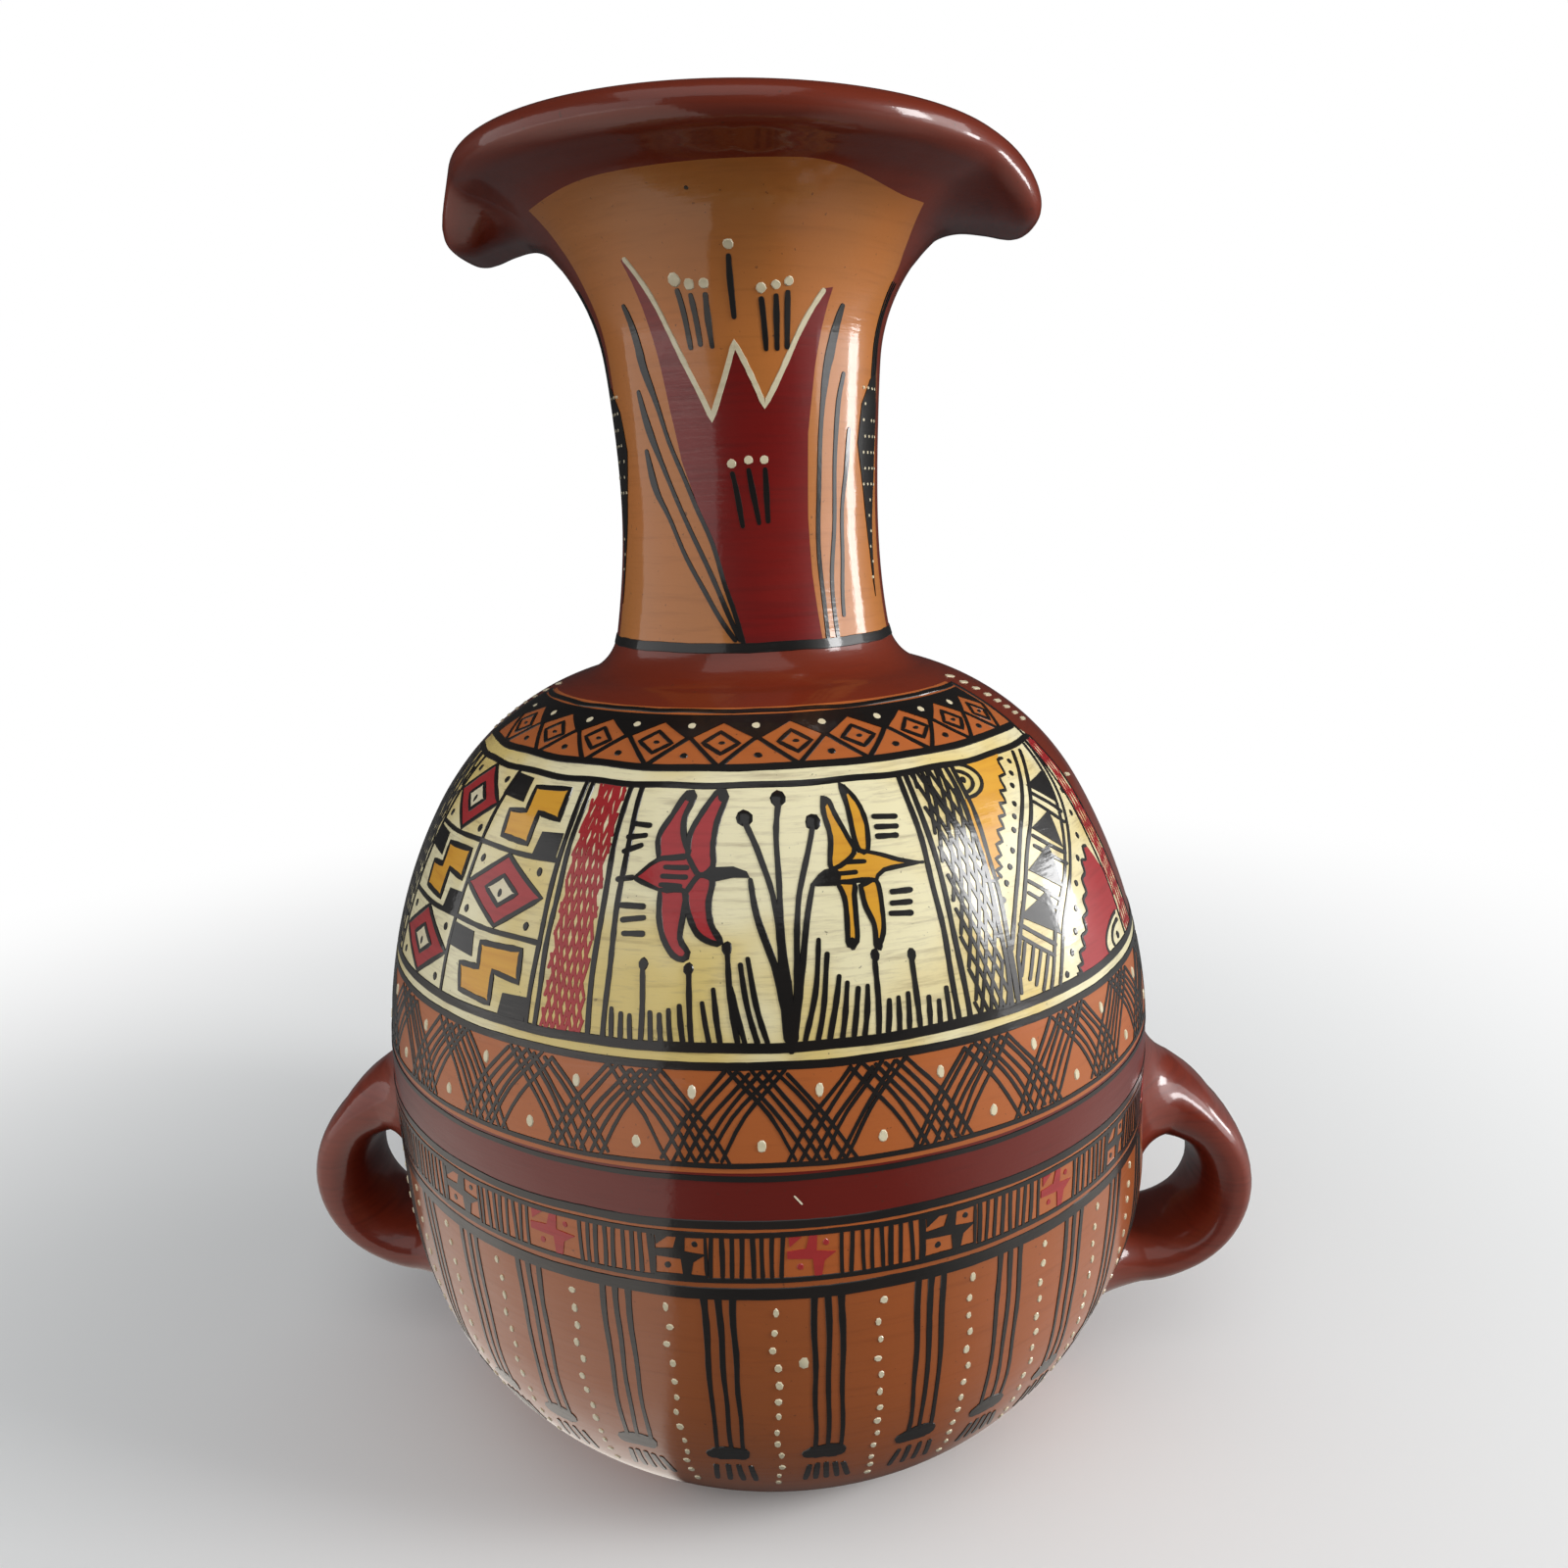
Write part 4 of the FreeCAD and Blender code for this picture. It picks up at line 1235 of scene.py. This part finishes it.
for tip_t, tip_h, wide in ((-2.9, 12.0, 1.5), (0.8, 13.6, 1.9), (-1.9, -12.4, 1.7),
                           (1.5, -13.0, 1.8)):
    dot(black, YELLOW_BIRD[0] + tip_t, YELLOW_BIRD[1] + tip_h, wide, 3.0)
yellow_tail = ((-6.7, -1.9), (-5.4, -0.2), (-4.4, 0.6), (-2.8, 0.8), (-2.2, -0.6), (-2.6, -2.4),
               (-5.6, -2.2))
fill(black, about(YELLOW_BIRD, yellow_tail), 0.17)
for height, start, end, tilt in ((165.0, -15.6, -12.0, -0.2), (162.6, -15.8, -12.4, 0.6),
                                 (160.0, -16.0, -12.8, 1.5), (155.2, -16.2, -13.4, 0.7),
                                 (150.9, -15.3, -11.2, 0.0), (148.3, -14.6, -11.0, 0.8),
                                 (146.0, -14.2, -10.9, 0.3), (165.0, 21.8, 26.0, -0.4),
                                 (163.2, 21.8, 25.7, -0.3), (161.6, 21.6, 25.3, -0.2),
                                 (151.9, 22.0, 25.4, -0.1), (150.0, 21.7, 25.0, -0.3),
                                 (148.2, 21.3, 24.8, -0.4)):
    stroke(black, [(start, height), (end, height + tilt)], 1.2)
print("two birds")

# %% Reeds and grass
FAN_FOOT = (7.3, 127.2)
for places, head in ((((2.2, 165.6), (4.6, 159.4), (6.3, 150.4), (7.0, 127.4)), 3.2),
                     (((7.6, 168.6), (7.0, 162.5), (6.9, 150.4), (7.5, 127.4)), 3.2),
                     (((12.6, 164.4), (10.0, 155.3), (9.1, 148.3), (7.8, 127.4)), 3.0)):
    stroke(black, places, (1.2, 1.15, 1.35, 1.7))
    dot(black, places[0][0], places[0][1] + 0.6, head * 1.12, head * 1.26)
stroke(black, [(3.0, 156.1), (3.9, 149.6), (6.1, 139.1), FAN_FOOT], (1.0, 1.5, 1.6, 1.8))
stroke(black, [(11.6, 154.8), (10.3, 148.0), (9.0, 139.0), (7.8, 127.2)], (1.0, 1.3, 1.4, 1.6))
stroke(black, [(7.2, 140.0), (7.3, 125.4)], (1.6, 2.6, 2.4, 1.6))
TALL_GRASS = ((-10.5, 140.6), (-4.3, 140.1), (1.1, 143.8), (17.9, 141.0), (23.1, 140.1))
blade_foot = -14.4
blades = 0
while blade_foot < 27.8:
    away = abs(blade_foot - FAN_FOOT[0])
    if away > 1.2 and min(abs(blade_foot - t) for t, h in TALL_GRASS) > 0.8:
        side = -1 if blade_foot < FAN_FOOT[0] else 1
        lean = 3.4 * math.exp(-away / 7.0)
        tall = 4.6 + 17.0 * math.exp(-away / 5.5) + hand.uniform(-1.0, 1.4)
        tip = (blade_foot + side * lean, 127.6 + tall)
        bend = (blade_foot + side * lean * 0.55, 127.6 + tall * 0.45)
        stroke(black, [tip, bend, (blade_foot, 127.2)], (1.0, 1.2, 1.15))
        blades += 1
    blade_foot += hand.uniform(1.2, 1.55)
for foot, tip_height in TALL_GRASS:
    from_fan = foot - FAN_FOOT[0]
    lean = math.copysign(2.6 * math.exp(-abs(from_fan) / 8.0), from_fan)
    stroke(black, [(foot + lean, tip_height), (foot + lean * 0.5, 134.0), (foot, 127.2)],
           (1.1, 1.25, 1.15))
    dot(black, foot + lean, tip_height + 0.4, 2.1, 2.9)
print("grass of", blades, "blades")

# %% [markdown]
# The fan of stripes on the right
# The stripes in the right panel run down and inwards in curves, like a folded wing: a
# yellow toothed field with an eye, a dotted stripe, a double line, a row of black
# triangles, another double line with dots, and a red toothed field with an eye.

# %% Eye, teeth and triangles
TEETH = 9
TOOTH_DEPTH = 0.75
# Degrees are about one and a half times as long as millimetres here
DEGREE_LONG = 1.5


def toothed(spine):
    """Places of an edge that swings to both sides of a line like the teeth of a saw."""
    knots = np.array(spine, float)
    share = np.linspace(0, len(knots) - 1, TEETH * 2 + 1)
    line = np.stack([np.interp(share, np.arange(len(knots)), knots[:, i]) for i in (0, 1)], 1)
    run = np.gradient(line, axis=0)
    run /= np.hypot(run[:, 0] * DEGREE_LONG, run[:, 1])[:, None]
    sway = np.where(np.arange(len(line)) % 2 == 0, -1.0, 1.0)[:, None]
    off = np.stack([run[:, 1] / DEGREE_LONG, -run[:, 0] * DEGREE_LONG], 1) * sway * TOOTH_DEPTH
    return [tuple(p) for p in line + off]


def half_eye(centre, side, sizes, start=-90, width=0.95):
    """Nested half ovals open to one side: degrees across and millimetres up."""
    for wide, high in sizes:
        arc = [(centre[0] + side * wide * math.cos(math.radians(a)),
                centre[1] + high * math.sin(math.radians(a))) for a in np.linspace(start, 90, 9)]
        stroke(black, arc, width, step=1.0)


yellow_edge = toothed(((53.7, 170.9), (49.0, 166.0), (46.0, 162.5), (43.3, 158.4),
                       (41.0, 154.2), (39.8, 150.6)))
fill(yellow, [(43.2, 171.3), (53.7, 171.3)] + yellow_edge[1:]
     + [(38.2, 150.4), (38.2, 157.0), (39.2, 165.3), (42.6, 165.8), (44.5, 167.0),
        (45.0, 168.6), (44.6, 170.0)])
stroke(black, yellow_edge, 0.85, step=1.2)
stroke(black, [(38.0, 150.4), (38.9, 150.2), (39.8, 150.6)], 0.7)
half_eye((39.7, 168.4), 1, ((5.2, 3.1), (3.2, 2.0)))
dot(black, 41.0, 168.6, 1.6, 1.9)
for t, h in ((55.2, 169.4), (53.3, 167.4), (51.4, 165.4), (49.3, 162.3), (47.8, 160.2),
             (46.3, 157.9), (44.3, 154.5), (42.6, 151.8), (40.9, 149.2), (39.4, 146.4)):
    dot(black, t, h, 1.5, 1.6)
stroke(black, [(61.5, 170.6), (54.6, 162.6), (48.6, 155.4), (44.6, 148.4), (41.5, 142.0),
               (39.3, 135.6)], 1.15)
stroke(black, [(58.8, 170.8), (52.4, 163.2), (46.7, 155.9), (43.0, 149.0), (40.1, 142.0),
               (38.2, 137.0)], 1.15)
for tip, top, side in (((55.1, 164.6), (63.0, 165.6), (61.6, 159.2)),
                       ((50.5, 157.2), (57.3, 158.9), (56.5, 151.4)),
                       ((46.0, 150.2), (52.9, 153.4), (52.3, 144.6)),
                       ((41.3, 142.7), (48.7, 145.6), (48.5, 136.6))):
    fill(black, [tip, top, side], 0.18)
for start, end in (((54.9, 163.4), (61.7, 157.2)), ((49.8, 156.0), (56.8, 150.0)),
                   ((45.0, 148.4), (50.8, 142.6)), ((40.8, 141.6), (46.9, 134.9))):
    stroke(black, [start, end], 1.0)
    stroke(black, [(start[0] - 0.7, start[1] - 1.9), (end[0] - 0.8, end[1] - 1.9)], 0.95)
stroke(black, [(67.1, 171.2), (63.4, 159.0), (56.4, 147.3), (49.8, 138.5), (45.7, 127.4)], 1.1)
stroke(black, [(65.2, 171.2), (61.6, 159.4), (54.6, 147.6), (48.0, 138.7), (43.8, 127.4)], 1.1)
for t, h in ((66.3, 160.5), (64.9, 156.0), (63.0, 151.7), (59.7, 148.0), (56.3, 144.0),
             (53.8, 139.7), (51.9, 135.7), (49.8, 132.3), (47.6, 128.8)):
    dot(black, t, h, 1.6, 1.7)
for places in (((41.1, 138.0), (38.9, 131.8)), ((42.4, 136.7), (40.2, 130.6)),
               ((43.7, 135.7), (41.2, 129.1)), ((44.8, 134.1), (42.2, 127.7)),
               ((37.8, 138.0), (37.6, 128.0)), ((39.3, 136.2), (38.4, 128.6))):
    stroke(black, places, 1.0)
print("yellow field, triangles and dots")

# %% Red field and the edge of the front
red_edge = toothed(((64.4, 149.6), (60.1, 145.9), (56.8, 139.6), (53.6, 134.0),
                    (51.0, 129.0), (50.0, 126.8)))
fill(crimson, red_edge + [(60.8, 126.8), (59.4, 128.3), (59.5, 130.6), (61.7, 132.6),
                          (65.8, 133.5), (68.3, 133.4), (67.6, 142.3)])
stroke(black, red_edge, 0.9, step=1.2)
half_eye((66.4, 129.0), -1, ((7.2, 4.4), (4.4, 2.8)), -28)
dot(black, 64.6, 129.0, 2.0, 2.1)
upright(68.2, 66.4, 0.8)
upright(74.7, 71.1, 0.8)
net(crimson, (68.9, 74.2), (66.9, 70.8), 1.35, 0.66, 0.26)
# Cream ticks run down the edge of the front from the shoulder
for k in range(8):
    height = 184.2 - 1.5 * k
    for side, t in ((1, 76.0 + 0.45 * k), (-1, 80.0 + 0.45 * k)):
        stroke(cream, [(side * (t - 1.8), height + 0.3), (side * (t + 2.0), height - 0.3)], 1.0)
stroke(cream, [(73.6, 162.0), (76.6, 161.2)], 0.9)
for side_t in (PANEL_LEFT + 0.4, 69.3):
    stroke(black, [(side_t, 183.6), (side_t - 0.4, 171.0)], 1.1)
print("red field and side ticks")

# %% [markdown]
# The lower bands
# Below the picture runs a band of crossed strokes in a zigzag, then a plain dark red band,
# then a band where tally strokes alternate with small squares, and last the long lines
# that hang down to the foot like legs with claws. These repeat evenly, so they are drawn
# by counting round the jar.

# %% Zigzag of crossed strokes
ZIGZAGS = 25
ZIGZAG_PITCH = 360.0 / ZIGZAGS
ZIGZAG_SHIFT = 3.2
for k in range(ZIGZAGS):
    node = ZIGZAG_SHIFT + ZIGZAG_PITCH * k
    for lean in (-1, 1):
        for i in range(6):
            top = node + (i - 2.5) * 1.35 + hand.uniform(-0.14, 0.14)
            foot = top + lean * (7.8 + hand.uniform(-0.3, 0.3))
            high = 122.4 + hand.uniform(-0.5, 0.6)
            low = 104.6 + hand.uniform(-0.3, 0.9)
            sag = (top + foot) / 2 + lean * hand.uniform(0.65, 0.9)
            stroke(low_black, [(top, high), (sag, (high + low) / 2), (foot, low)],
                   (0.88, 0.85, 0.72), step=3.6)
    dot(cream, node + ZIGZAG_PITCH / 2 + hand.uniform(-0.4, 0.4), 118.6, 1.7, 2.9)
    dot(cream, node + hand.uniform(-0.4, 0.4), 108.4, 1.9, 2.7)
print("zigzag of", ZIGZAGS * 12, "strokes")


# %% Tally strokes and squares
def small_square(left, right_end, red):
    """A little square with a pinwheel figure and two dotted corners."""
    cell = (left, right_end, 81.0, 89.8)
    figure = ((0.0, 0.64), (0.38, 0.68), (0.46, 1.0), (0.62, 1.0), (0.60, 0.62), (1.0, 0.56),
              (0.76, 0.36), (0.70, 0.0), (0.55, 0.0), (0.52, 0.42), (0.0, 0.46))
    frame_line = [in_cell(cell, u, v) for u, v in ((0, 0), (1, 0), (1, 1), (0, 1))]
    shape = [in_cell(cell, u, v) for u, v in figure]
    paint = crimson if red else low_black
    fill(paint, shape, 0.13)
    if not red:
        stroke(low_black, frame_line, 0.8, curved=False, closed=True)
    dot(paint, *in_cell(cell, 0.26, 0.24), 1.5, 1.6, 0.10)
    dot(paint, *in_cell(cell, 0.80, 0.80), 1.4, 1.5, 0.10)
    fill(paint, [in_cell(cell, u, v) for u, v in ((0.04, 0.98), (0.30, 0.98), (0.05, 0.74))],
         0.13)


front_squares = [(-42.3, -35.0), (-25.9, -19.5), (-9.4, -3.3), (6.0, 11.6), (22.2, 29.0),
                 (39.3, 45.0), (54.1, 59.5)]
SQUARE_WIDE = 6.2
BACK_GAPS = 15
last_edge = front_squares[-1][1]
gap = (360 - last_edge + front_squares[0][0]) / BACK_GAPS
ends = [last_edge + gap * (k + 1) for k in range(BACK_GAPS - 1)]
squares = front_squares + [(right_end - SQUARE_WIDE, right_end) for right_end in ends]
for k, (left, right_end) in enumerate(squares):
    small_square(left, right_end, red=k % 2 == 1)
    following = squares[(k + 1) % len(squares)][0]
    following += 360 if following < right_end else 0
    room = following - right_end
    bars = max(5, round(room / 1.15))
    for i in range(bars):
        t = right_end + room * (i + 0.6) / bars
        stroke(low_black, [(t, 90.0), (t + hand.uniform(-0.25, 0.25), 80.8)],
               hand.uniform(0.8, 1.1), step=4.0)
print("squares:", len(squares))

# %% Long legs with claws
front_legs = (-50.0, -38.5, -27.2, -14.7, -2.1, 10.6, 23.2, 34.6, 46.5, 58.0)
BACK_LEGS = 20
leg_step = (360 + front_legs[0] - front_legs[-1]) / (BACK_LEGS + 1)
legs = list(front_legs) + [front_legs[-1] + leg_step * (k + 1) for k in range(BACK_LEGS)]
LEG_TOP, LEG_FOOT = 76.8, 36.0
LOWEST_DOT = 19.0


def in_a_loop(turn):
    """Whether a place round the jar is inside a handle's loop or under its root."""
    return abs(abs((turn + 180) % 360 - 180) - 90) < 14.5


def leg(middle, claws):
    """Three lines that hang down to a foot with claws."""
    for shift in (-1.7, 0.0, 1.6):
        wander = hand.uniform(-0.15, 0.15)
        places = [(middle + shift + wander * s, LEG_TOP - (LEG_TOP - LEG_FOOT) * s)
                  for s in (0, 0.33, 0.67, 1.0)]
        stroke(low_black, places, (1.5, 1.25, 1.0, 1.0), step=3.5)
    stroke(low_black, [(middle - 3.3, 34.0), (middle - 0.6, 35.0), (middle + 2.4, 34.6)],
           (3.6, 4.9, 4.2))
    for i in range(claws):
        t = middle - 2.3 + 4.6 * i / (claws - 1)
        stroke(low_black, [(t, 30.2 + 0.5 * math.sin(i)), (t + 0.4 * (i - 1.5), 23.0)],
               (1.2, 1.4, 1.2), step=4.0)


def dot_column(turn):
    """Cream dots one below another, a little closer towards the foot."""
    for i in range(13):
        height = 73.0 - 4.6 * i + 0.03 * i * i
        if height > LOWEST_DOT:
            dot(cream, turn + hand.uniform(-0.35, 0.35), height + hand.uniform(-0.4, 0.4),
                hand.uniform(1.2, 1.8), hand.uniform(1.6, 2.4), corners=7)


for k, middle in enumerate(legs):
    if not in_a_loop(middle):
        leg(middle, 4 + k % 2)
    following = legs[k + 1] if k + 1 < len(legs) else legs[0] + 360
    column = (middle + following) / 2
    if not in_a_loop(column):
        dot_column(column)
# A chip in the paint and a scratch on the red band
dot(cream, 7.6, 60.5, 2.3, 3.4, lift=0.05, corners=7)
stroke(cream, [(7.0, 98.3), (7.9, 96.4)], 0.35, lift=0.05)
print("groups of legs:", len(legs))

# %% Dry the paint
paint_pieces = [finish_paint(paint) for paint in paints]
print("paint triangles", sum(len(p.data.polygons) * 2 for p in paint_pieces))

# %% [markdown]
# The camera
# The camera's place was found by matching the jar's outline and painted rings with the
# photo. It stands close by and looks down a little, so the mouth shows as a flat oval.

# %% Place the camera
CAMERA_PLACE = Vector((24.5, -294.7, 224.8)) * MM
CAMERA_PITCH = 0.2390
CAMERA_TURN = 0.0015 - 0.083
CAMERA_ROLL = -0.0355
ahead = Vector((math.sin(CAMERA_TURN) * math.cos(CAMERA_PITCH),
                math.cos(CAMERA_TURN) * math.cos(CAMERA_PITCH), -math.sin(CAMERA_PITCH)))
level = Vector((math.cos(CAMERA_TURN), -math.sin(CAMERA_TURN), 0.0))
upward = level.cross(ahead)
right = math.cos(CAMERA_ROLL) * level + math.sin(CAMERA_ROLL) * upward
above = -math.sin(CAMERA_ROLL) * level + math.cos(CAMERA_ROLL) * upward
lens = bpy.data.cameras.new("photo_camera")
# The focal length is 1210 pixels on a picture 1600 pixels wide
lens.sensor_width = 36.0
lens.lens = 27.216
lens.shift_x = 0.0144
lens.shift_y = 0.0075
lens.clip_start = 0.01
camera = bpy.data.objects.new("photo_camera", lens)
bpy.context.scene.collection.objects.link(camera)
facing = Matrix((right, above, -ahead)).transposed().to_4x4()
camera.matrix_world = Matrix.Translation(CAMERA_PLACE) @ facing
bpy.context.scene.camera = camera
print("camera", [round(v, 3) for v in camera.location])

# %% [markdown]
# Floor and light
# The jar stands on a pale floor in an even light. A window on the right, with two small
# panes, gives the hard bright marks on the varnish. A broad pale wall gives the milky
# sheen on the left. The varnish also mirrors the table, which is bright on the left and
# dark in front. That is left to a glow that only glossy rays see, so it lights nothing.

# %% Floor
WHITE_FROM, WHITE_AT = 0.16, 0.62
FLOOR_TO_THE_EYE = (0.84, 0.84, 0.83, 1)
FLOOR_TO_THE_JAR = (0.15, 0.15, 0.15, 1)
GLOW_COLOUR = (1.0, 0.93, 0.85, 1)
deselect_all()
bpy.ops.mesh.primitive_plane_add(size=6.0, location=(0, 0, 0))
floor = bpy.context.active_object
floor.name = "floor"
floor_paint = bpy.data.materials.new("floor_paint")
floor_paint.use_nodes = True
floor_tree = floor_paint.node_tree
floor_shader = floor_tree.nodes["Principled BSDF"]
floor_shader.inputs["Roughness"].default_value = 0.9
floor_shader.inputs["Specular IOR Level"].default_value = 0.1
floor_place = add(floor_tree, "ShaderNodeTexCoord").outputs["Object"]
light_path = add(floor_tree, "ShaderNodeLightPath").outputs
by_eye = light_path["Is Camera Ray"]
floor_tint = blend_colours(floor_tree, by_eye, FLOOR_TO_THE_JAR, FLOOR_TO_THE_EYE)
floor_tree.links.new(floor_tint, floor_shader.inputs["Base Color"])
# Away from the jar the floor fades into white paper
far = add(floor_tree, "ShaderNodeVectorMath", {0: floor_place}, operation="LENGTH")
far = remap(floor_tree, far.outputs["Value"], WHITE_FROM, WHITE_AT)
paper = add(floor_tree, "ShaderNodeEmission", {"Color": (1, 1, 1, 1), "Strength": 1.0})
fade = add(floor_tree, "ShaderNodeMixShader", {0: calc(floor_tree, "MULTIPLY", far, by_eye),
                                               1: floor_shader.outputs[0],
                                               2: paper.outputs[0]})

# %% The table's glow in the varnish
floor_xyz = add(floor_tree, "ShaderNodeSeparateXYZ", {0: floor_place}).outputs
toward = calc(floor_tree, "MULTIPLY", floor_xyz[1], -1.0)
round_jar = calc(floor_tree, "ARCTAN2", floor_xyz[0], toward)


def glow_side(rise, fall, strength):
    """A glow that comes in between two directions and fades between two others."""
    start, full = (math.radians(a) for a in rise)
    hold, gone = (math.radians(a) for a in fall)
    if start < full:
        coming = remap(floor_tree, round_jar, start, full, 0.0, strength)
    else:
        coming = remap(floor_tree, round_jar, full, start, strength, 0.0)
    if gone < hold:
        going = remap(floor_tree, round_jar, gone, hold, 0.0, 1.0)
    else:
        going = remap(floor_tree, round_jar, hold, gone, 1.0, 0.0)
    return calc(floor_tree, "MULTIPLY", coming, going)


both_sides = calc(floor_tree, "ADD", glow_side((-16, -19), (-60, -125), 1.02),
                  glow_side((30, 60), (80, 125), 0.48))
sheen = calc(floor_tree, "MULTIPLY", both_sides, light_path["Is Glossy Ray"])
table_glow = add(floor_tree, "ShaderNodeEmission", {"Color": GLOW_COLOUR, "Strength": sheen})
whole = add(floor_tree, "ShaderNodeAddShader", {0: fade.outputs[0], 1: table_glow.outputs[0]})
floor_out = floor_tree.nodes["Material Output"]
floor_tree.links.new(whole.outputs[0], floor_out.inputs["Surface"])
floor.data.materials.append(floor_paint)
print("floor laid")


# %% Lights
def area_light(name, turn, rise, distance, wide, high, power):
    """A soft light at a direction from the jar's middle, facing it."""
    data = bpy.data.lights.new(name, "AREA")
    data.shape = "RECTANGLE"
    data.size = wide
    data.size_y = high
    data.energy = power
    lamp = bpy.data.objects.new(name, data)
    bpy.context.scene.collection.objects.link(lamp)
    t, e = math.radians(turn), math.radians(rise)
    way = Vector((math.sin(t) * math.cos(e), -math.cos(t) * math.cos(e), math.sin(e)))
    lamp.location = Vector((0, 0, 0.16)) + way * distance
    lamp.rotation_euler = way.to_track_quat("Z", "Y").to_euler()


area_light("window", 86, 14, 1.5, 1.0, 0.9, 9)
area_light("bright_pane", 76, 22, 1.5, 0.32, 0.56, 9.5)
area_light("far_pane", 106, 5, 1.5, 0.30, 0.30, 4)
area_light("pale_wall", -64, 12, 1.5, 2.6, 1.3, 11)
area_light("room", -5, 56, 1.8, 1.6, 1.6, 7)

world = bpy.data.worlds.new("room_air")
bpy.context.scene.world = world
world.use_nodes = True
air = world.node_tree
air.nodes.clear()
seen = air.nodes.new("ShaderNodeLightPath")
glow = air.nodes.new("ShaderNodeBackground")
glow.inputs["Color"].default_value = (0.92, 0.96, 1.0, 1)
# The room's air lights the clay softly, and in the varnish it is almost dark
AIR_LIGHT = 0.38
AIR_LESS_IN_GLOSS = 0.35
dim = calc(air, "MULTIPLY", seen.outputs["Is Glossy Ray"], AIR_LESS_IN_GLOSS)
air.links.new(calc(air, "SUBTRACT", AIR_LIGHT, dim), glow.inputs["Strength"])
white = air.nodes.new("ShaderNodeBackground")
white.inputs["Color"].default_value = (1, 1, 1, 1)
white.inputs["Strength"].default_value = 1.0
pick = air.nodes.new("ShaderNodeMixShader")
air_out = air.nodes.new("ShaderNodeOutputWorld")
air.links.new(seen.outputs["Is Camera Ray"], pick.inputs[0])
air.links.new(glow.outputs[0], pick.inputs[1])
air.links.new(white.outputs[0], pick.inputs[2])
air.links.new(pick.outputs[0], air_out.inputs["Surface"])
bpy.context.scene.view_settings.view_transform = "Standard"
print("five lights and a dim room")

# %% [markdown]
# Hand the pieces over
# The modelled skin stands for the CAD solids of the base, the walls, the neck, the lip and
# the lugs, and each strap stands for its handle. All of them belong to the one body.

# %% Join the looks to the solids
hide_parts("base_slab", "lower_body", "upper_body", "neck", "rim_coil",
            "lug_left", "lug_right")
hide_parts("handle_left")
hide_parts("handle_right")
for piece in [clay_skin, handle_left_strap, handle_right_strap] + paint_pieces:
    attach(piece, "root")
